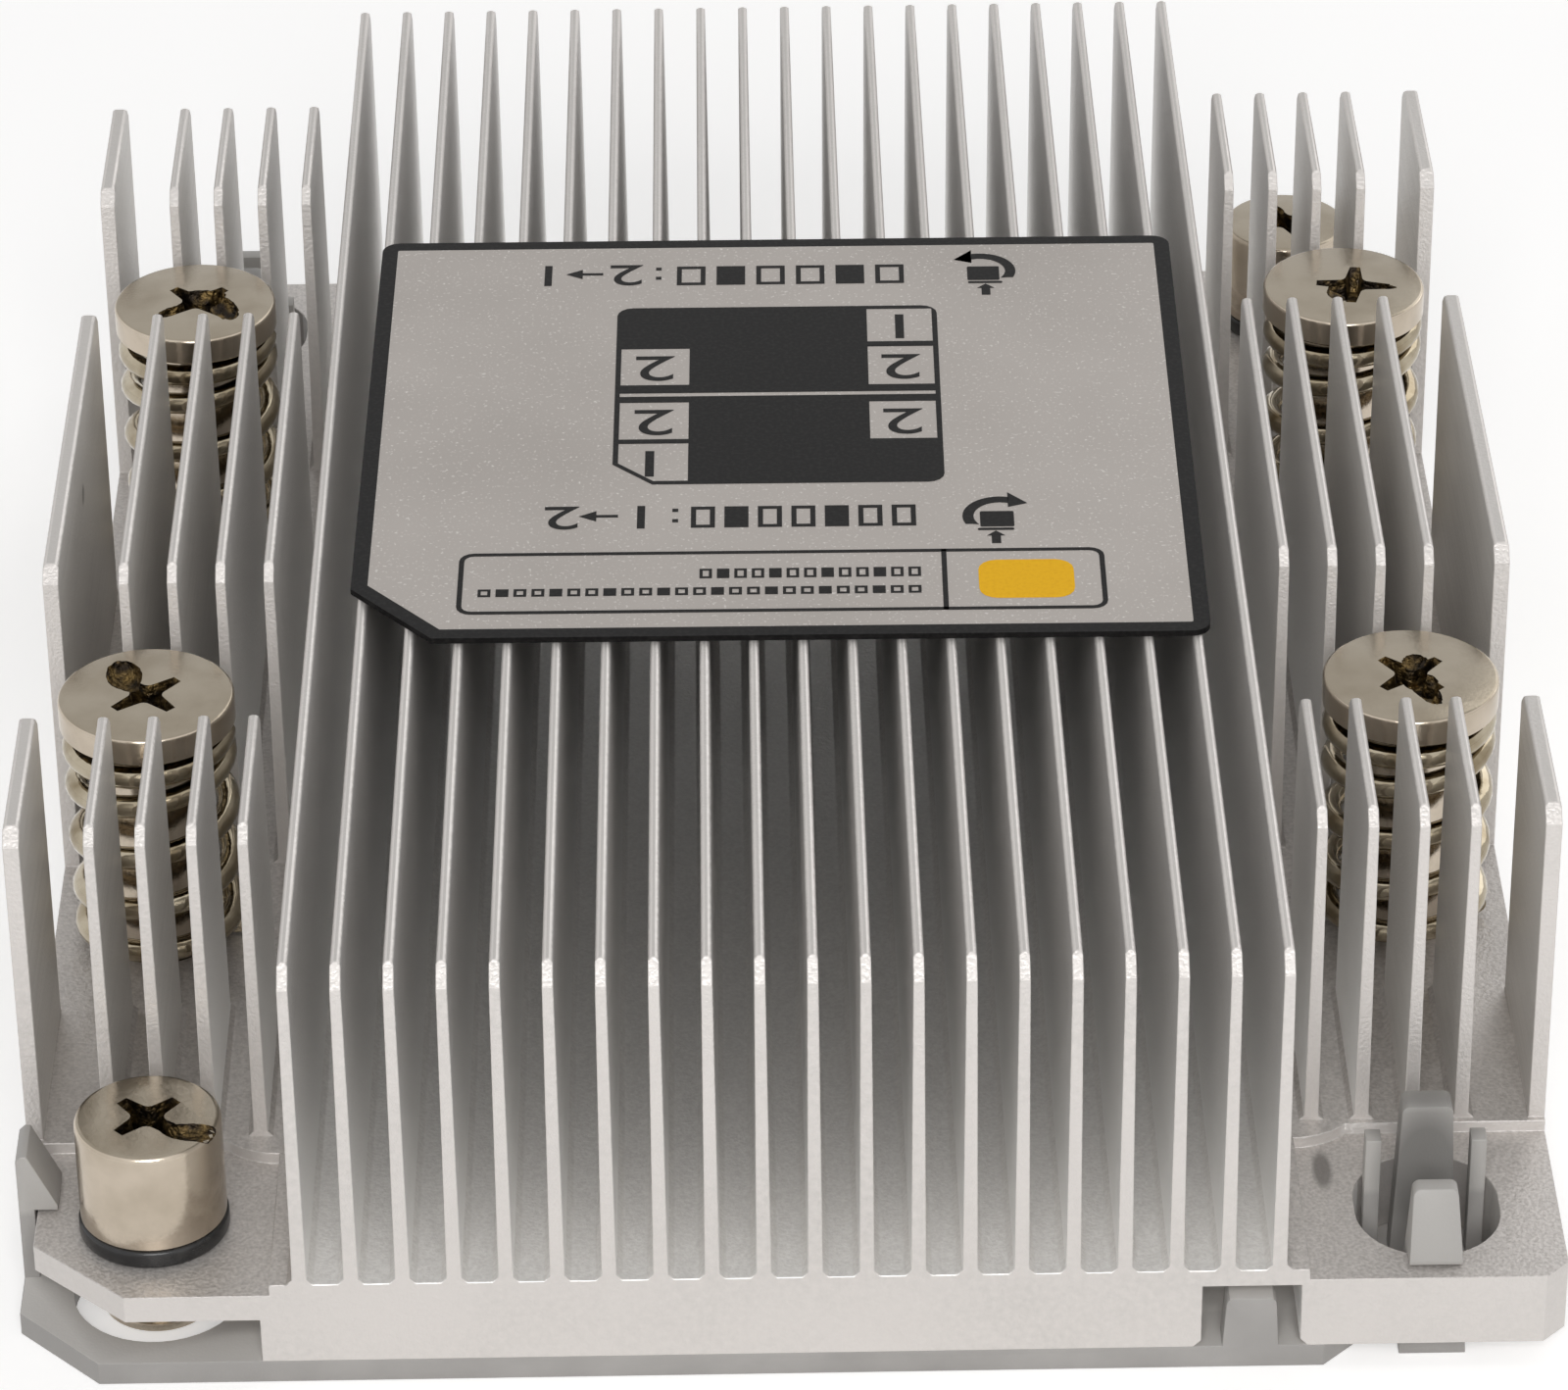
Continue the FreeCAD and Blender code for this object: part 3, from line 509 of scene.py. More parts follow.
def makePlastic():
    look = plasticLook
    finish = Finish("greyPlastic", look["colour"], 0.0, look["roughness"])
    cloud = finish.grain(look["cloudSize"], detail=4, low=0.4, high=0.7)
    plate = finish.blend(cloud, look["colour"], look["rubbed"])
    # upward faces of the plate take the lighter tone, painted light
    upwards = finish.over(finish.group(facingGroup)["Up"], look["upFrom"])
    plate = finish.blend(upwards, plate, look["plateTopPaintedLight"])
    # above lugFrom the carrier is made lighter, painted light
    low = finish.group(belowGroup, Level=look["lugFrom"], Blur=look["lugBlur"])["Mask"]
    colour = finish.blend(low, look["lugPaintedLight"], plate)
    # the latch posts are darkened here as painted shade
    for place in look["posts"]:
        colour = finish.blend(finish.spot(place, look["postReach"]), colour, look["post"])
    finish.feed("Base Color", colour)
    finish.relief(finish.grain(look["grainSize"]), look["reliefDepth"], look["reliefStrength"])
    return finish.material


screwLook = {
    "colour": tone(196, 184, 168),
    "stained": tone(176, 164, 147),
    # darker tones for the upward faces of the heads: painted shade
    "top": tone(154, 145, 130),
    "topPaintedShadeStained": tone(138, 128, 112),
    "upFrom": 0.8,
    "grainSize": 5000,
    "stainSize": 350,
    "roughLow": 0.14,
    "roughHigh": 0.26,
    "reliefDepth": 0.01 * mm,
    "reliefStrength": 0.2,
}


def makeScrewMetal(name, look):
    finish = Finish(name, look["colour"], 1.0, look["roughLow"])
    stain = finish.grain(look["stainSize"], detail=5, low=0.4, high=0.75)
    grain = finish.grain(look["grainSize"])
    colour = finish.blend(stain, look["colour"], look["stained"])
    # upward faces take the darker top tones, painted shade
    if "top" in look:
        upwards = finish.over(finish.group(facingGroup)["Up"], look["upFrom"])
        top = finish.blend(stain, look["top"], look["topPaintedShadeStained"])
        colour = finish.blend(upwards, colour, top)
    finish.feed("Base Color", colour)
    finish.feed("Roughness", finish.between(grain, look["roughLow"], look["roughHigh"]))
    finish.relief(grain, look["reliefDepth"], look["reliefStrength"])
    return finish.material


# worn metal of the recess and torn places, made much darker as painted shade in the hollows
wornAndShadedLook = {
    "colour": tone(44, 38, 32),
    "stained": tone(128, 106, 66),
    "grainSize": 3200,
    "stainSize": 1300,
    "roughLow": 0.3,
    "roughHigh": 0.6,
    "reliefDepth": 0.12 * mm,
    "reliefStrength": 0.7,
}
springLook = {
    "colour": tone(176, 166, 146),
    "stained": tone(116, 100, 72),
    "grainSize": 4000,
    "stainSize": 420,
    "roughLow": 0.05,
    "roughHigh": 0.12,
    "reliefDepth": 0.01 * mm,
    "reliefStrength": 0.2,
}
rubberLook = {
    "colour": tone(26, 26, 27),
    "dusty": tone(54, 53, 52),
    "dustSize": 900,
    "roughness": 0.26,
    "reliefDepth": 0.02 * mm,
    "reliefStrength": 0.3,
}


def makeRubber():
    look = rubberLook
    finish = Finish("blackWasher", look["colour"], 0.0, look["roughness"])
    dust = finish.grain(look["dustSize"], detail=4, low=0.45, high=0.8)
    finish.feed("Base Color", finish.blend(dust, look["colour"], look["dusty"]))
    finish.relief(dust, look["reliefDepth"], look["reliefStrength"])
    return finish.material


filmLook = {
    "face": tone(184, 177, 171),
    "fleck": tone(216, 211, 206),
    "shade": tone(172, 165, 159),
    "fleckSize": 5200,
    "cloudSize": 60,
    "metallic": 0.25,
    "roughness": 0.42,
    "reliefDepth": 0.02 * mm,
    "reliefStrength": 0.3,
}


def makeFilm():
    look = filmLook
    finish = Finish("greyFilm", look["face"], look["metallic"], look["roughness"])
    fleck = finish.grain(look["fleckSize"], detail=1, low=0.62, high=0.78)
    cloud = finish.grain(look["cloudSize"], detail=3, low=0.35, high=0.7)
    ground = finish.blend(cloud, look["face"], look["shade"])
    finish.feed("Base Color", finish.blend(fleck, ground, look["fleck"]))
    finish.relief(fleck, look["reliefDepth"], look["reliefStrength"])
    return finish.material


inkLook = {
    "black": tone(24, 23, 23),
    "blackWorn": tone(38, 37, 36),
    "yellow": tone(255, 196, 34),
    "yellowWorn": tone(248, 186, 28),
    "speckSize": 4200,
    "gloss": 0.1,
    "roughness": 0.5,
    "reliefDepth": 0.01 * mm,
    "reliefStrength": 0.2,
}


def makeInk(name, colour, worn):
    look = inkLook
    finish = Finish(name, colour, 0.0, look["roughness"])
    finish.shader.inputs["Specular IOR Level"].default_value = look["gloss"]
    speck = finish.grain(look["speckSize"], low=0.45, high=0.75)
    finish.feed("Base Color", finish.blend(speck, colour, worn))
    finish.relief(speck, look["reliefDepth"], look["reliefStrength"])
    return finish.material


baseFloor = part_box("spring_front_left")[0].z
materials = {
    "aluminium": makeAluminium(baseFloor),
    "plastic": makePlastic(),
    "screw": makeScrewMetal("nickelScrew", screwLook),
    # the recess material: wear, darkened further as painted shade
    "worn": makeScrewMetal("chewedRecessPaintedShade", wornAndShadedLook),
    "spring": makeScrewMetal("springWire", springLook),
    "rubber": makeRubber(),
    "film": makeFilm(),
    "black": makeInk("blackInk", inkLook["black"], inkLook["blackWorn"]),
    "yellow": makeInk("yellowInk", inkLook["yellow"], inkLook["yellowWorn"]),
}
print("materials ready")


def dress(piece, *names):
    piece.data.materials.clear()
    for name in names:
        piece.data.materials.append(materials[name])


# the body, the carrier, the washers and the rings, with their edges broken;
# flat, sharp and smooth are the angles within or from which that is done, in degrees
edges = {
    "body": {"flat": 0.5, "sharp": 25, "width": 0.04 * mm, "segments": 1, "smooth": 20},
    "carrier": {"flat": 0.5, "sharp": 25, "width": 0.12 * mm, "segments": 2, "smooth": 30},
    "washer": {"flat": 0.5, "sharp": 40, "width": 0.2 * mm, "segments": 3, "smooth": 40},
    "ring": {"flat": 0.5, "sharp": 40, "width": 0.06 * mm, "segments": 1, "smooth": 40},
}
# tops of the front right latch, lowered there and, half a turn round, at the back left
latchTops = {
    "outside": 25 * mm,
    "pieces": [
        {"y": (-46.2 * mm, -43.5 * mm), "above": 11.0 * mm, "drop": 1.0 * mm},
        {"y": (-51.2 * mm, -49.2 * mm), "above": 9.0 * mm, "drop": 0.4 * mm},
    ],
}


def lowerLatchTops(piece):
    for top in latchTops["pieces"]:
        near, far = top["y"]
        for turned in (1, -1):
            for point in piece.data.vertices:
                x, y, _ = point.co * turned
                inTop = x > latchTops["outside"] and near < y < far
                if inTop and point.co.z > top["above"]:
                    point.co.z -= top["drop"]


def softenRing(node, name, body):
    dress(softenedCopy(node, name, body, edges["ring"]), "screw")


body = softenedCopy("heatsink", "finned_body", "root", edges["body"])
dress(body, "aluminium")
carrier = softenedCopy("carrier", "moulded_carrier", "root", edges["carrier"])
dress(carrier, "plastic")
lowerLatchTops(carrier)
for corner in lockCorners:
    washer = softenedCopy(
        f"lock_washer_{corner}", f"rubber_washer_{corner}", "root", edges["washer"]
    )
    dress(washer, "rubber")
    softenRing(f"lock_screw_ring_{corner}", f"nut_ring_{corner}", f"collar_{corner}")
for corner in springCorners:
    softenRing(f"spring_screw_ring_{corner}", f"split_ring_{corner}", f"plunger_{corner}")
print("body, carrier, washers and rings done")


# springs: a closed coil, open coils and a closed coil, wound from round wire

springSizes = {
    "wire": 1.25 * mm,
    "closedPitch": 1.3 * mm,
    "openCoils": 3,
    "stepsPerCoil": 32,
    "wireSides": 14,
    "smoothTo": 60,
}


def windCoils(name, x, y, foot, radius, pitch, count):
    sizes = springSizes
    part = newPiece(
        name, bpy.ops.mesh.primitive_circle_add,
        vertices=sizes["wireSides"], radius=sizes["wire"] / 2,
        location=(radius, 0, foot), rotation=(math.pi / 2, 0, 0),
    )
    settle(part)
    applyModifier(
        part, "SCREW", axis="Z", screw_offset=pitch, iterations=count,
        steps=sizes["stepsPerCoil"], render_steps=sizes["stepsPerCoil"],
        use_merge_vertices=False,
    )
    part.location = (x, y, 0)
    settle(part)
    return part


def windSpring(node, name):
    x, y, low, high = axisOf(node)
    sizes = springSizes
    wire, closed, coils = sizes["wire"], sizes["closedPitch"], sizes["openCoils"]
    boxLow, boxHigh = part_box(node)
    radius = (boxHigh.x - boxLow.x) / 2 - wire / 2
    rise = high - low - wire
    openPitch = (rise - 2 * closed) / coils
    foot = low + wire / 2
    parts = [
        windCoils("closedFoot", x, y, foot, radius, closed, 1),
        windCoils("openCoils", x, y, foot + closed, radius, openPitch, coils),
        windCoils("closedTop", x, y, high - wire / 2 - closed, radius, closed, 1),
    ]
    piece = joined(parts, name)
    openEdit(piece)
    bpy.ops.mesh.remove_doubles(threshold=mergeDistance)
    bpy.ops.mesh.fill_holes(sides=sizes["wireSides"])
    closeEdit()
    faceOutwards(piece)
    smoothByAngle(piece, sizes["smoothTo"])
    dress(piece, "spring")
    return piece


firstNode = f"spring_{springCorners[0]}"
firstSpring = windSpring(firstNode, f"wound_spring_{springCorners[0]}")
firstX, firstY, _, _ = axisOf(firstNode)
for corner in springCorners:
    node = f"spring_{corner}"
    x, y, low, high = axisOf(node)
    piece = firstSpring
    if corner != springCorners[0]:
        shift = Vector((x - firstX, y - firstY, 0))
        piece = movedCopy(firstSpring, f"wound_spring_{corner}", shift)
    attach(piece, "root")
    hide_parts(node)
    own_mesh(piece)
print("springs wound")


# driver recess: a cross with rounded inner corners and slimmer tips, tapering as it goes down
def crossCutter(x, y, top, turn, cross):
    deep = cross["depth"] + cross["above"]
    middle = top + cross["above"] - deep / 2
    cutter = newPiece("crossCutter", bpy.ops.mesh.primitive_cube_add, size=1)
    cutter.scale = (cross["width"], cross["width"], deep)
    settle(cutter)
    pick(cutter, "FACE", lambda face: abs(face.normal.z) < 0.5)
    bpy.ops.mesh.extrude_faces_move(
        TRANSFORM_OT_shrink_fatten={"value": cross["reach"] - cross["width"] / 2}
    )
    half = cross["width"] / 2

    def isInner(edge):
        a, b = (cutter.data.vertices[index].co for index in edge.vertices)
        upright = abs(a.z - b.z) > deep / 2
        return upright and all(abs(abs(place) - half) < half / 9 for place in a.xy)

    pick(cutter, "EDGE", isInner)
    bpy.ops.mesh.bevel(offset=cross["innerRound"], segments=4, affect="EDGES")
    nearTip = cross["reach"] * 0.95
    for axis, slim in ((0, (1, cross["tip"], 1)), (1, (cross["tip"], 1, 1))):
        pick(
            cutter, "FACE",
            lambda face: abs(face.normal[axis]) > 0.9 and abs(face.center[axis]) > nearTip,
        )
        bpy.ops.transform.resize(value=slim, center_override=(0, 0, 0))
    pick(cutter, "FACE", lambda face: face.normal.z < -0.5)
    bpy.ops.transform.resize(
        value=(cross["taper"], cross["taper"], 1), center_override=(0, 0, -deep / 2)
    )
    closeEdit()
    cutter.rotation_euler.z = math.radians(turn)
    cutter.location = (x, y, middle)
    settle(cutter)
    faceOutwards(cutter)
    return cutter


# each torn place: its bearing and distance from the middle, its length, width, depth and
# ragged edge, how far it is skewed from its bearing, and a seed; in degrees and millimetres
tearParts = ("bearing", "away", "length", "width", "depth", "ragged", "skew", "seed")


def tearCutter(x, y, top, tear):
    cutter = newPiece(
        "tearCutter", bpy.ops.mesh.primitive_ico_sphere_add, subdivisions=4, radius=1
    )
    cutter.scale = (tear["length"] * mm / 2, tear["width"] * mm / 2, tear["depth"] * mm)
    settle(cutter)
    openEdit(cutter)
    bpy.ops.transform.vertex_random(offset=tear["ragged"] * mm, seed=tear["seed"])
    closeEdit()
    angle = math.radians(tear["bearing"])
    away = tear["away"] * mm
    cutter.rotation_euler.z = angle + math.radians(tear["skew"])
    cutter.location = (x + away * math.cos(angle), y + away * math.sin(angle), top)
    settle(cutter)
    return cutter


def cutRecess(piece, x, y, top, cross, wear):
    aside, back = wear["shift"]
    cutAway(piece, crossCutter(x + aside, y + back, top, wear["turn"], cross))
    for row in wear["tears"]:
        tear = dict(zip(tearParts, row))
        whole = piece.data.copy()
        cutAway(piece, tearCutter(x, y, top, tear))
        if not piece.data.polygons:
            print("tear", tear["seed"], "left out")
            piece.data = whole
    dress(piece, "screw", "worn")


# the recess and the torn places are worn, and made darker still as painted shade; the flat top and
# its rounded rim are not
wornReach = {"flat": 0.02 * mm, "deepest": 2.7 * mm, "pastRim": 0.3 * mm, "levelFrom": 0.95}


def markRecess(piece, x, y, top, reach):
    limits = wornReach
    for face in piece.data.polygons:
        across = Vector((face.center.x - x, face.center.y - y))
        inHead = face.center.z > top - limits["deepest"]
        level = face.normal.z > limits["levelFrom"]
        onTop = level and face.center.z > top - limits["flat"]
        onRim = across.length > reach and face.normal.xy.dot(across) > 0
        inside = across.length < reach + limits["pastRim"]
        face.material_index = 1 if inHead and inside and not onTop and not onRim else 0


# (radius, height) pairs from the ring's groove up to the head's rounded rim
def headRings(sizes, ringNode, under, top):
    ringLow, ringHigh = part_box(ringNode)
    neck = sizes["shankRadius"] - sizes["grooveDepth"]
    head, curve, steps = sizes["headRadius"], sizes["headRound"], sizes["rimSteps"]
    rings = [
        (neck, ringLow.z - sizes["ringPlay"]),
        (neck, ringHigh.z + sizes["ringPlay"]),
        (sizes["shankRadius"], ringHigh.z + sizes["ringPlay"]),
        (sizes["shankRadius"], under),
        (head - sizes["underRound"], under),
        (head, under + sizes["underRound"]),
    ]
    for step in range(steps + 1):
        angle = step / steps * math.pi / 2
        rings.append((
            head - curve + curve * math.cos(angle), top - curve + curve * math.sin(angle)
        ))
    return rings


def finishHead(piece, x, y, top, sizes, corner):
    cutRecess(piece, x, y, top, sizes["cross"], sizes["wear"][corner])
    markRecess(piece, x, y, top, sizes["headRadius"] - sizes["headRound"])
    smoothByAngle(piece, sizes["smoothTo"])


springScrewSizes = {
    "segments": 72,
    "smoothTo": 32,
    "headRadius": 4.7 * mm,
    "headHeight": 1.6 * mm,
    "headRound": 0.22 * mm,
    "rimSteps": 4,
    "underRound": 0.12 * mm,
    "shankRadius": 2.5 * mm,
    "grooveDepth": 0.45 * mm,
    "ringPlay": 0.05 * mm,
    "collar": 0.65 * mm,
    "threadRadius": 1.75 * mm,
    "lead": 0.4 * mm,
    "cross": {
        "reach": 2.35 * mm, "width": 1.05 * mm, "depth": 1.3 * mm, "above": 0.4 * mm,
        "innerRound": 0.5 * mm, "taper": 0.62, "tip": 0.62,
    },
    "wear": {
        "front_left": {
            "turn": 42, "shift": (0, 0),
            "tears": [
                (124, 2.3, 3.0, 1.9, 0.85, 0.07, -22, 3),
                (135, 1.4, 1.8, 1.2, 0.8, 0.05, -8, 5),
            ],
        },
        "front_right": {
            "turn": 42, "shift": (0, 0.1 * mm),
            "tears": [
                (292, 1.6, 3.2, 1.3, 0.9, 0.07, 0, 8),
                (300, 0.9, 1.6, 1.9, 0.8, 0.07, 0, 9),
                (76, 1.35, 1.5, 1.4, 0.4, 0.08, 0, 11),
            ],
        },
        "back_left": {
            "turn": 43, "shift": (0.12 * mm, 0.05 * mm),
            "tears": [
                (337, 1.8, 3.3, 1.6, 0.8, 0.09, -42, 13),
                (62, 0.85, 1.3, 2.8, 0.75, 0.07, 28, 20),
                (221, 1.7, 2.1, 0.9, 0.7, 0.06, 0, 17),
            ],
        },
        "back_right": {
            "turn": -8, "shift": (0.55 * mm, 0),
            "tears": [
                (352, 2.1, 2.0, 0.55, 0.5, 0.05, 0, 23),
                (262, 0.8, 2.3, 1.9, 0.5, 0.07, 0, 29),
            ],
        },
    },
}


def makeSpringScrew(corner):
    sizes = springScrewSizes
    node = f"spring_screw_{corner}"
    ringNode = f"spring_screw_ring_{corner}"
    x, y, tip, top = axisOf(node)
    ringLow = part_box(ringNode)[0].z
    rings = [
        (sizes["threadRadius"] - sizes["lead"], tip),
        (sizes["threadRadius"], tip + sizes["lead"]),
        (sizes["threadRadius"], ringLow - sizes["collar"]),
        (sizes["shankRadius"], ringLow - sizes["collar"]),
        (sizes["shankRadius"], ringLow - sizes["ringPlay"]),
    ]
    rings += headRings(sizes, ringNode, top - sizes["headHeight"], top)
    piece = turnedPiece(f"shoulder_screw_{corner}", x, y, rings, sizes["segments"])
    finishHead(piece, x, y, top, sizes, corner)
    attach(piece, f"screw_{corner}")
    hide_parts(node)


for corner in springCorners:
    makeSpringScrew(corner)
print("spring screws done")


cornerNutSizes = {
    "segments": 80,
    "smoothTo": 32,
    "headRadius": 3.75 * mm,
    "headRound": 0.3 * mm,
    "rimSteps": 4,
    "underRound": 0.12 * mm,
    "shankRadius": 2.45 * mm,
    "grooveDepth": 0.45 * mm,
    "ringPlay": 0.05 * mm,
    "tipRadius": 2.2 * mm,
    "lead": 0.2 * mm,
    "boreRadius": 1.45 * mm,
    "boreDepth": 6.0 * mm,
    "cross": {
        "reach": 2.1 * mm, "width": 1.0 * mm, "depth": 2.2 * mm, "above": 0.4 * mm,
        "innerRound": 0.5 * mm, "taper": 0.6, "tip": 0.7,
    },
    "wear": {
        "front_left": {
            "turn": 45, "shift": (0, 0),
            "tears": [
                (329, 2.85, 3.4, 1.5, 0.42, 0.05, 22, 31),
                (318, 1.6, 2.0, 1.0, 0.8, 0.05, 0, 37),
            ],
        },
        "back_right": {
            "turn": 20, "shift": (0, 0),
            "tears": [(110, 1.5, 1.4, 1.0, 0.4, 0.05, 0, 41)],
        },
    },
}


def makeCornerNut(corner):
    sizes = cornerNutSizes
    node = f"lock_screw_{corner}"
    ringNode = f"lock_screw_ring_{corner}"
    x, y, tip, top = axisOf(node)
    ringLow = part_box(ringNode)[0].z
    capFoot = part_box(f"lock_washer_{corner}")[1].z
    rings = [
        (sizes["boreRadius"], tip + sizes["boreDepth"]),
        (sizes["boreRadius"], tip),
        (sizes["tipRadius"] - sizes["lead"], tip),
        (sizes["tipRadius"], tip + sizes["lead"]),
        (sizes["tipRadius"], ringLow - sizes["ringPlay"]),
    ]
    rings += headRings(sizes, ringNode, capFoot, top)
    piece = turnedPiece(f"corner_nut_{corner}", x, y, rings, sizes["segments"])
    finishHead(piece, x, y, top, sizes, corner)
    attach(piece, f"lock_{corner}")
    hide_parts(node)


for corner in lockCorners:
    makeCornerNut(corner)
print("corner nuts done")


# film label: a dark border round a grey face, and its print as thin ink

labelSizes = {
    "border": 0.9 * mm,
    "cornerRound": 1.0 * mm,
    "chamferWidth": 4.5 * mm,
    "chamferLength": 5.1 * mm,
    "ink": 0.02 * mm,
    "cells": 7,
    "skew": -0.5,
}
labelLow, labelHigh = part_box("label")
labelCentre = (labelLow + labelHigh) / 2
faceLevel = labelHigh.z - labelSizes["ink"]


def makeLabel():
    sizes = labelSizes
    middle = (labelCentre.x, labelCentre.y, faceLevel)
    piece = newPiece("film_label", bpy.ops.mesh.primitive_plane_add, size=1, location=middle)
    piece.scale = (labelHigh.x - labelLow.x, labelHigh.y - labelLow.y, 1)
    settle(piece)
    openEdit(piece)
    corner = Vector((labelLow.x + sizes["chamferWidth"], labelLow.y, faceLevel))
    slant = Vector((sizes["chamferLength"], sizes["chamferWidth"], 0)).normalized()
    bpy.ops.mesh.bisect(plane_co=corner, plane_no=slant, clear_inner=True)
    # the two ends of the cut corner stay sharp
    sharpTo = corner + Vector((sizes["chamferWidth"], 2 * sizes["chamferLength"], 0))
    pick(piece, "VERT", lambda point: point.co.x >= sharpTo.x or point.co.y >= sharpTo.y)
    bpy.ops.mesh.bevel(offset=sizes["cornerRound"], segments=6, affect="VERTICES")
    bpy.ops.mesh.select_mode(type="FACE")
    bpy.ops.mesh.select_all(action="SELECT")
    bpy.ops.mesh.inset(thickness=sizes["border"], depth=0)
    closeEdit()
    dress(piece, "film", "black")
    for face in piece.data.polygons:
        face.material_index = 0 if face.select else 1
    # smaller faces, so that the film shades evenly
    bpy.ops.object.mode_set(mode="EDIT")
    for axis in (0, 1):
        across = Vector((0, 0, 0))
        across[axis] = 1
        for step in range(1, sizes["cells"]):
            place = labelLow.lerp(labelHigh, step / sizes["cells"])
            bpy.ops.mesh.select_all(action="SELECT")
            bpy.ops.mesh.bisect(plane_co=place, plane_no=across)
    closeEdit()
    applyModifier(
        piece, "SOLIDIFY", thickness=faceLevel - labelLow.z, offset=-1, material_offset_rim=1
    )
    return piece


def inkPlate(x0, y0, x1, y1):
    centre = ((x0 + x1) / 2 * mm, (y0 + y1) / 2 * mm, faceLevel)
    plate = newPiece("inkPlate", bpy.ops.mesh.primitive_plane_add, size=1, location=centre)
    plate.scale = (abs(x1 - x0) * mm, abs(y1 - y0) * mm, 1)
    settle(plate)
    return plate


def roundCorners(plate, radius):
    openEdit(plate, "VERT")
    bpy.ops.mesh.bevel(offset=radius * mm, segments=4, affect="VERTICES")
    closeEdit()
    return plate


def hollow(plate, line):
    openEdit(plate, "FACE")
    bpy.ops.mesh.inset(thickness=line * mm, depth=0)
    bpy.ops.mesh.delete(type="FACE")
    closeEdit()
    return plate


# the print's places and sizes are in millimetres from the middle of the heatsink
printSizes = {
    "line": 0.28,
    "thinLine": 0.17,
    "numberHeight": 2.5,
    "numberWidth": 1.25,
    "numberShare": 0.72,
    "panel": (-8.85, -6.95, 9.35, 12.9),
    "panelRound": 0.9,
    "chamfer": 2.2,
    "slit": 0.2,
    "cells": [
        (5.35, 8.75, 9.05, 12.55, "1"),
        (5.35, 3.85, 9.05, 8.2, "2"),
        (5.35, -2.2, 9.05, 1.95, "2"),
        (-8.55, 4.0, -4.7, 8.15, "2"),
        (-8.55, -2.05, -4.7, 2.05, "2"),
        (-8.55, -6.6, -4.7, -2.5, "1"),
    ],
    "cellNumber": 2.9,
    "cutShift": 0.55 / 3,
    "rows": [
        {"y": 17.0, "near": -8.4, "outer": -12.9, "numbers": "21", "letters": 6,
         "lettersFrom": -5.5, "lettersY": 16.7},
        {"y": -10.3, "near": -7.2, "outer": -11.5, "numbers": "12", "letters": 7,
         "lettersFrom": -4.5, "lettersY": -10.5},
    ],
    "lettersTo": 8.2,
    "letterHeight": 2.2,
    "letterShare": 0.72,
    "arrowHead": 0.62,
    "arrowHalf": 0.9,
    "dotAway": 1.85,
    "dotRise": 0.55,
    "dotHalf": 0.16,
    "box": (-16.9, -20.35, 17.7, -14.1),
    "boxRound": 0.8,
    "divider": 9.1,
    "patch": (10.9, -19.2, 16.0, -15.3),
    "patchRound": 1.0,
    "smallRows": [(-15.8, 8.1, -18.2, 0.75), (-4.0, 8.1, -16.4, 0.95)],
    "smallPitch": 0.95,
    "signs": [(11.95, 16.95, -1), (12.25, -10.7, 1)],
}


def inkNumber(text, x, y, height):
    clearSelection()
    bpy.ops.object.text_add(location=(x * mm, y * mm, faceLevel), rotation=(0, 0, math.pi))
    number = bpy.context.view_layer.objects.active
    number.data.body = text
    number.data.size = height * mm / printSizes["numberShare"]
    number.data.align_x = "CENTER"
    number.data.align_y = "CENTER"
    bpy.ops.object.convert(target="MESH")
    number.scale.x = printSizes["numberWidth"]
    settle(number)
    return number


def inkArrow(xFrom, xTo, y, head):
    tip = newPiece(
        "arrowTip", bpy.ops.mesh.primitive_circle_add,
        vertices=3, radius=head * mm, fill_type="NGON",
        location=((xTo + head * 0.5) * mm, y * mm, faceLevel), rotation=(0, 0, math.pi / 2),
    )
    settle(tip)
    shaft = inkPlate(xFrom, y - head / 5, xTo + head, y + head / 5)
    return [tip, shaft]


# a row of blocks in place of letters: the second of every three is solid
def letterRow(xFrom, xTo, y, height, count, line):
    plates = []
    step = (xTo - xFrom) / count
    for index in range(count):
        left = xFrom + index * step
        right = left + step * printSizes["letterShare"]
        plate = inkPlate(left, y - height / 2, right, y + height / 2)
        plates.append(plate if index % 3 == 1 else hollow(plate, line))
    return plates


# a screw head, an arrow turning over it and a small arrow pressing from below
signSizes = {
    "loopRadius": 2.05,
    "loopLine": 0.6,
    "loopEnd": 0.5,
    "loopLow": -0.8,
    "tip": (0.45, 1.5, 2.5, 0.95, 1.35),
    "head": (-1.1, -1.1, 0.74, 0.5),
    "washer": (-1.25, -1.47, 0.72, -1.25),
    "cornerRound": 0.1,
    "stemPlace": -0.28,
    "stemHalf": 0.25,
    "stemLow": -2.85,
    "stemHigh": -2.05,
    "barbHalf": 0.48,
    "stemTip": -1.55,
}


def inkTriangle(corners):
    plate = newPiece(
        "inkTriangle", bpy.ops.mesh.primitive_circle_add,
        vertices=3, radius=mm, fill_type="NGON",
    )
    for spot, (x, y) in zip(plate.data.vertices, corners):
        spot.co = (x * mm, y * mm, faceLevel)
    return plate


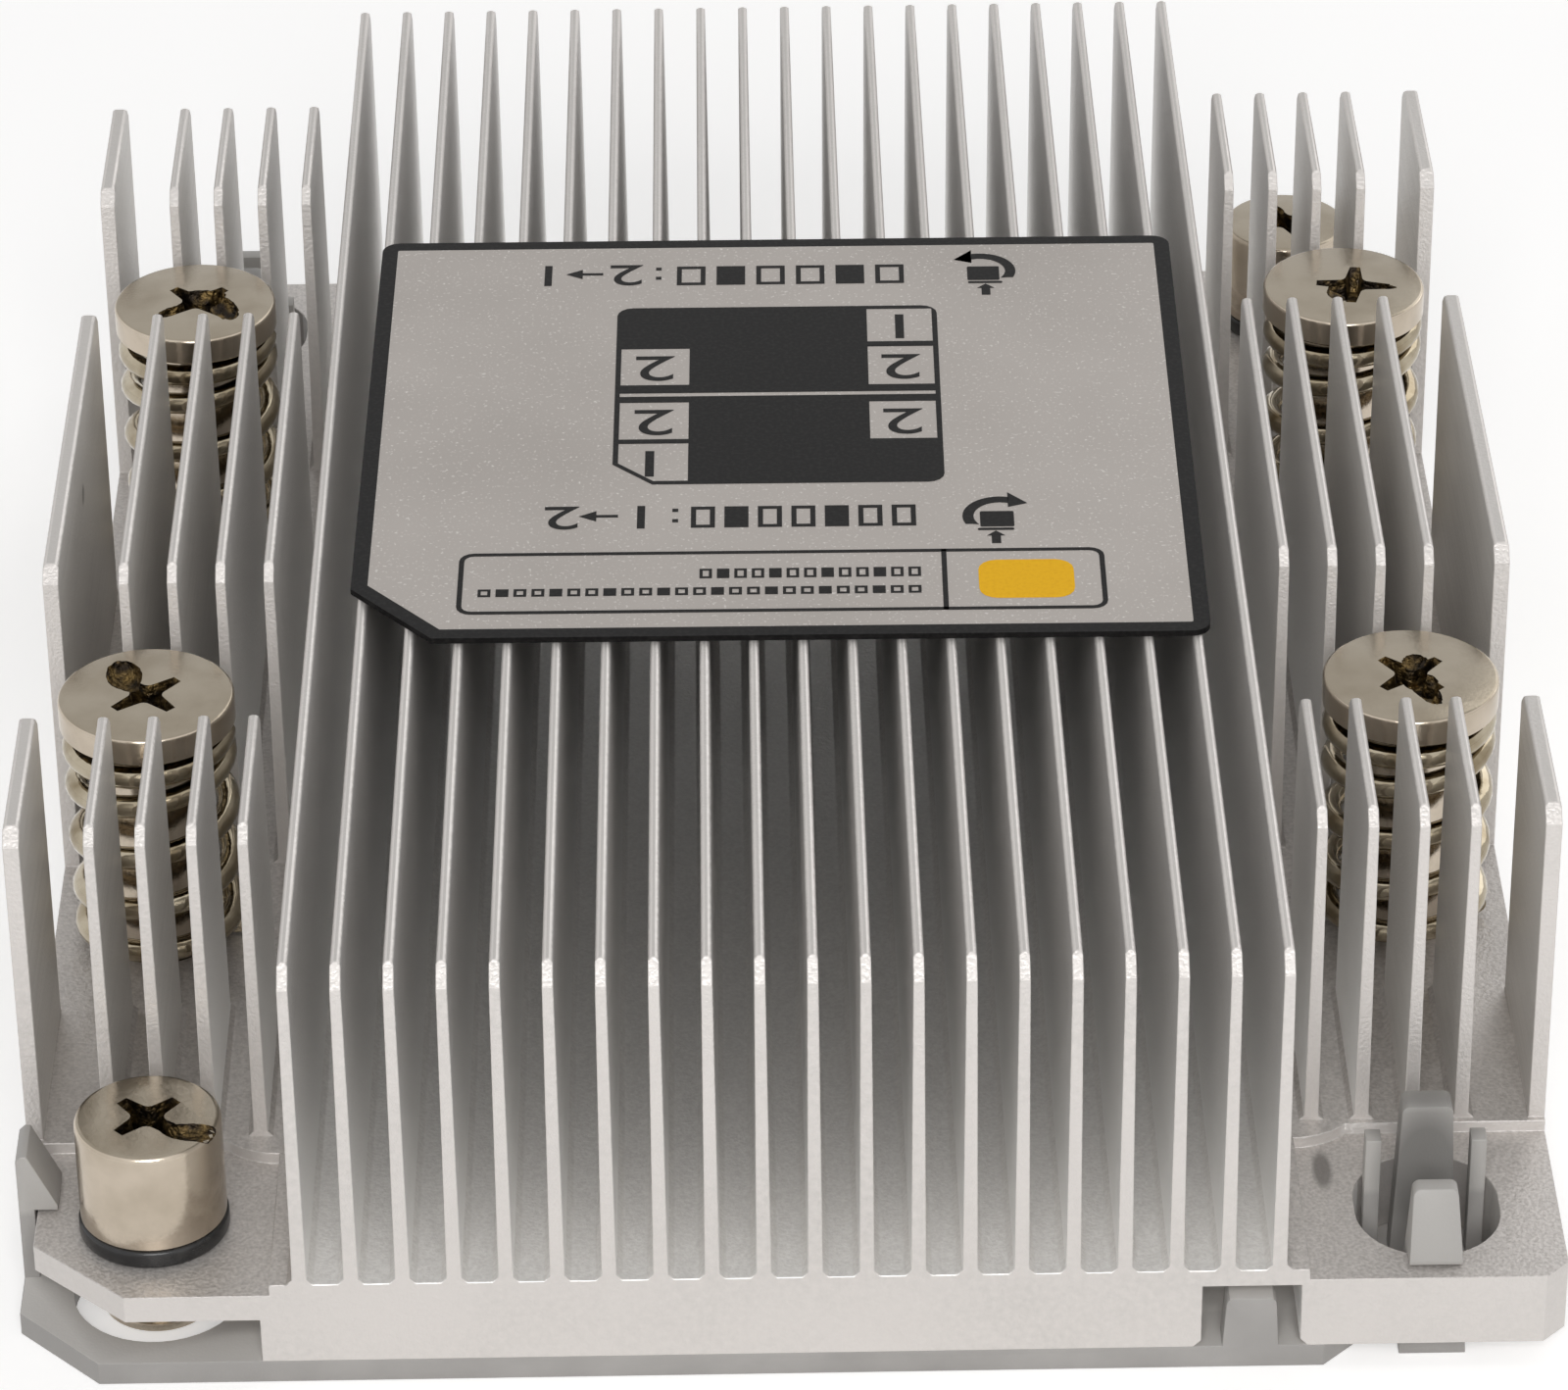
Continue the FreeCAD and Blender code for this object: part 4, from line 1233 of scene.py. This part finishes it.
def screwSign(x, y, side):
    sizes = signSizes
    loop = newPiece(
        "turnLoop", bpy.ops.mesh.primitive_circle_add,
        vertices=40, radius=sizes["loopRadius"] * mm, fill_type="NGON",
        location=(x * mm, y * mm, faceLevel),
    )
    settle(loop)
    loop = hollow(loop, sizes["loopLine"])
    end = ((x + side * sizes["loopEnd"]) * mm, y * mm, faceLevel)
    foot = (x * mm, (y + sizes["loopLow"]) * mm, faceLevel)
    for place, way in ((end, (-side, 0, 0)), (foot, (0, 1, 0))):
        openEdit(loop)
        bpy.ops.mesh.bisect(plane_co=place, plane_no=way, clear_inner=True)
        closeEdit()
    plates = [loop]
    base, point, high, low, middle = sizes["tip"]
    base, point = x + side * base, x + side * point
    plates.append(inkTriangle([(base, y + high), (base, y + low), (point, y + middle)]))
    for name in ("head", "washer"):
        left, foot, right, top = sizes[name]
        plate = inkPlate(x + side * left, y + foot, x + side * right, y + top)
        plates.append(roundCorners(plate, sizes["cornerRound"]))
    stem = x + side * sizes["stemPlace"]
    half, barb = sizes["stemHalf"], sizes["barbHalf"]
    shoulder = y + sizes["stemHigh"]
    plates.append(inkPlate(stem - half, y + sizes["stemLow"], stem + half, shoulder))
    plates.append(inkTriangle(
        [(stem - barb, shoulder), (stem + barb, shoulder), (stem, y + sizes["stemTip"])]
    ))
    return plates


# takes off the panel's front left corner, or a cell's, a line's width further in
def cutCorner(piece, line):
    left, low, _, _ = printSizes["panel"]
    place = ((left + printSizes["chamfer"]) * mm + line * mm * math.sqrt(2), low * mm, faceLevel)
    openEdit(piece)
    bpy.ops.mesh.bisect(
        plane_co=place, plane_no=Vector((1, 1, 0)).normalized(), clear_inner=True, use_fill=True
    )
    closeEdit()


def window(panel, x0, y0, x1, y1):
    centre = ((x0 + x1) / 2 * mm, (y0 + y1) / 2 * mm, faceLevel)
    cutter = newPiece("windowCutter", bpy.ops.mesh.primitive_cube_add, size=1, location=centre)
    cutter.scale = (abs(x1 - x0) * mm, abs(y1 - y0) * mm, mm)
    settle(cutter)
    cutCorner(cutter, printSizes["line"])
    cutAway(panel, cutter)


# the black picture of the heatsink, with a window for each numbered screw
def makePanel():
    sizes = printSizes
    line, slit = sizes["line"], sizes["slit"]
    left, low, right, high = sizes["panel"]
    middle = (sizes["cells"][1][1] + sizes["cells"][2][3]) / 2
    panel = roundCorners(inkPlate(left, low, right, high), sizes["panelRound"])
    applyModifier(panel, "SOLIDIFY", thickness=labelSizes["ink"] * 2, offset=0)
    for x0, y0, x1, y1, _ in sizes["cells"]:
        window(panel, x0, y0, x1, y1)
    window(panel, left + line, middle - slit, right - line, middle + slit)
    cutCorner(panel, 0)
    return panel


# one printed row's numbers, the arrow between them and the two dots before its letters
def numberRow(row):
    sizes = printSizes
    y, near, outer = row["y"], row["near"], row["outer"]
    first, second = row["numbers"]
    parts = [
        inkNumber(first, near, y, sizes["numberHeight"]),
        inkNumber(second, outer, y, sizes["numberHeight"]),
    ]
    middle = (outer + near) / 2
    half = sizes["arrowHalf"]
    parts += inkArrow(middle + half, middle - half, y, sizes["arrowHead"])
    dot, half = near + sizes["dotAway"], sizes["dotHalf"]
    for lift in (-sizes["dotRise"], sizes["dotRise"]):
        parts.append(inkPlate(dot - half, y + lift - half, dot + half, y + lift + half))
    return parts


def makePrint():
    sizes = printSizes
    line = sizes["line"]
    panel = makePanel()
    parts = []
    for x0, y0, x1, y1, number in sizes["cells"]:
        shift = sizes["cutShift"] if number == "1" and x0 < 0 else 0
        place = ((x0 + x1) / 2 - shift, (y0 + y1) / 2)
        parts.append(inkNumber(number, *place, sizes["cellNumber"]))
    for row in sizes["rows"]:
        parts += numberRow(row)
    for row in sizes["rows"]:
        parts += letterRow(
            row["lettersFrom"], sizes["lettersTo"], row["lettersY"], sizes["letterHeight"],
            row["letters"], line,
        )
    for x, y, side in sizes["signs"]:
        parts += screwSign(x, y, side)
    left, low, right, high = sizes["box"]
    parts.append(hollow(roundCorners(inkPlate(left, low, right, high), sizes["boxRound"]), line))
    parts.append(inkPlate(sizes["divider"] - line / 2, low, sizes["divider"] + line / 2, high))
    for xFrom, xTo, y, height in sizes["smallRows"]:
        count = round((xTo - xFrom) / sizes["smallPitch"])
        parts += letterRow(xFrom, xTo, y, height, count, sizes["thinLine"])
    flat = joined(parts, "flat_print")
    applyModifier(flat, "SOLIDIFY", thickness=labelSizes["ink"], offset=1)
    ink = joined([flat, panel], "label_print")
    dress(ink, "black")
    patch = roundCorners(inkPlate(*sizes["patch"]), sizes["patchRound"])
    patch.name = "yellow_patch"
    applyModifier(patch, "SOLIDIFY", thickness=labelSizes["ink"], offset=1)
    dress(patch, "yellow")
    return ink, patch


label = makeLabel()
ink, patch = makePrint()
for piece in (label, ink, patch):
    turn = Matrix.Rotation(math.radians(labelSizes["skew"]), 4, "Z")
    away = Matrix.Translation((labelCentre.x, labelCentre.y, 0))
    piece.data.transform(away @ turn @ away.inverted())
    faceOutwards(piece)
    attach(piece, "root")
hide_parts("label")
print("label printed")


# floor, light and camera

studio = {
    "floorSize": 6.0,
    "floorColour": tone(244, 243, 242),
    "floorRough": 0.8,
    "floorGloss": 0.2,
    "floorLift": 0.4,
    "worldStrength": 0.36,
    "lamps": [
        {"name": "front", "place": (0.0, -0.62, 0.42), "size": 0.35, "power": 2.5},
        {"name": "rear", "place": (0.5, 0.6, 0.45), "size": 0.6, "power": 1.3},
    ],
    "cameraPlace": (-0.00190, -0.32478, 0.21214),
    "lookDown": 32.23,
    "lookRight": 0.41,
    "lean": -0.65,
    "lens": 154.87,
    "sensor": 36.0,
    "nearest": 0.01,
    "furthest": 20,
}


# 1 where the camera sees a surface, also by reflection or through glass
def throughLens(tree):
    light = tree.nodes.new("ShaderNodeLightPath")
    seen = light.outputs["Is Camera Ray"]
    for name in ("Is Glossy Ray", "Is Transmission Ray"):
        either = tree.nodes.new("ShaderNodeMath")
        either.operation = "MAXIMUM"
        tree.links.new(seen, either.inputs[0])
        tree.links.new(light.outputs[name], either.inputs[1])
        seen = either.outputs[0]
    return seen


def makeFloor():
    floor = newPiece("floor", bpy.ops.mesh.primitive_plane_add, size=studio["floorSize"])
    material = bpy.data.materials.new("paleFloor")
    material.use_nodes = True
    tree = material.node_tree
    shader = tree.nodes["Principled BSDF"]
    shader.inputs["Base Color"].default_value = studio["floorColour"]
    shader.inputs["Roughness"].default_value = studio["floorRough"]
    shader.inputs["Specular IOR Level"].default_value = studio["floorGloss"]
    lift = tree.nodes.new("ShaderNodeMath")
    lift.operation = "MULTIPLY"
    lift.inputs[1].default_value = studio["floorLift"]
    tree.links.new(throughLens(tree), lift.inputs[0])
    tree.links.new(lift.outputs[0], shader.inputs["Emission Strength"])
    shader.inputs["Emission Color"].default_value = (1, 1, 1, 1)
    floor.data.materials.append(material)


def makeWorld():
    world = bpy.data.worlds.new("softRoom")
    bpy.context.scene.world = world
    world.use_nodes = True
    tree = world.node_tree
    plain = tree.nodes["Background"]
    plain.inputs["Color"].default_value = (1, 1, 1, 1)
    plain.inputs["Strength"].default_value = studio["worldStrength"]
    white = tree.nodes.new("ShaderNodeBackground")
    white.inputs["Color"].default_value = (1, 1, 1, 1)
    white.inputs["Strength"].default_value = 1.0
    mix = tree.nodes.new("ShaderNodeMixShader")
    tree.links.new(throughLens(tree), mix.inputs["Fac"])
    tree.links.new(plain.outputs[0], mix.inputs[1])
    tree.links.new(white.outputs[0], mix.inputs[2])
    tree.links.new(mix.outputs[0], tree.nodes["World Output"].inputs["Surface"])


def makeLamps():
    for lamp in studio["lamps"]:
        data = bpy.data.lights.new(lamp["name"], "AREA")
        data.shape = "SQUARE"
        data.size = lamp["size"]
        data.energy = lamp["power"]
        holder = bpy.data.objects.new(lamp["name"], data)
        bpy.context.scene.collection.objects.link(holder)
        holder.location = lamp["place"]
        holder.rotation_euler = (-Vector(lamp["place"])).to_track_quat("-Z", "Y").to_euler()


def makeCamera():
    data = bpy.data.cameras.new("camera")
    data.lens = studio["lens"]
    data.sensor_width = studio["sensor"]
    data.clip_start = studio["nearest"]
    data.clip_end = studio["furthest"]
    camera = bpy.data.objects.new("camera", data)
    bpy.context.scene.collection.objects.link(camera)
    camera.matrix_world = (
        Matrix.Translation(studio["cameraPlace"])
        @ Matrix.Rotation(-math.radians(studio["lookRight"]), 4, "Z")
        @ Matrix.Rotation(math.radians(90 - studio["lookDown"]), 4, "X")
        @ Matrix.Rotation(math.radians(studio["lean"]), 4, "Z")
    )
    bpy.context.scene.camera = camera


makeFloor()
makeWorld()
makeLamps()
makeCamera()
bpy.context.scene.view_settings.view_transform = "Standard"
print("studio ready")
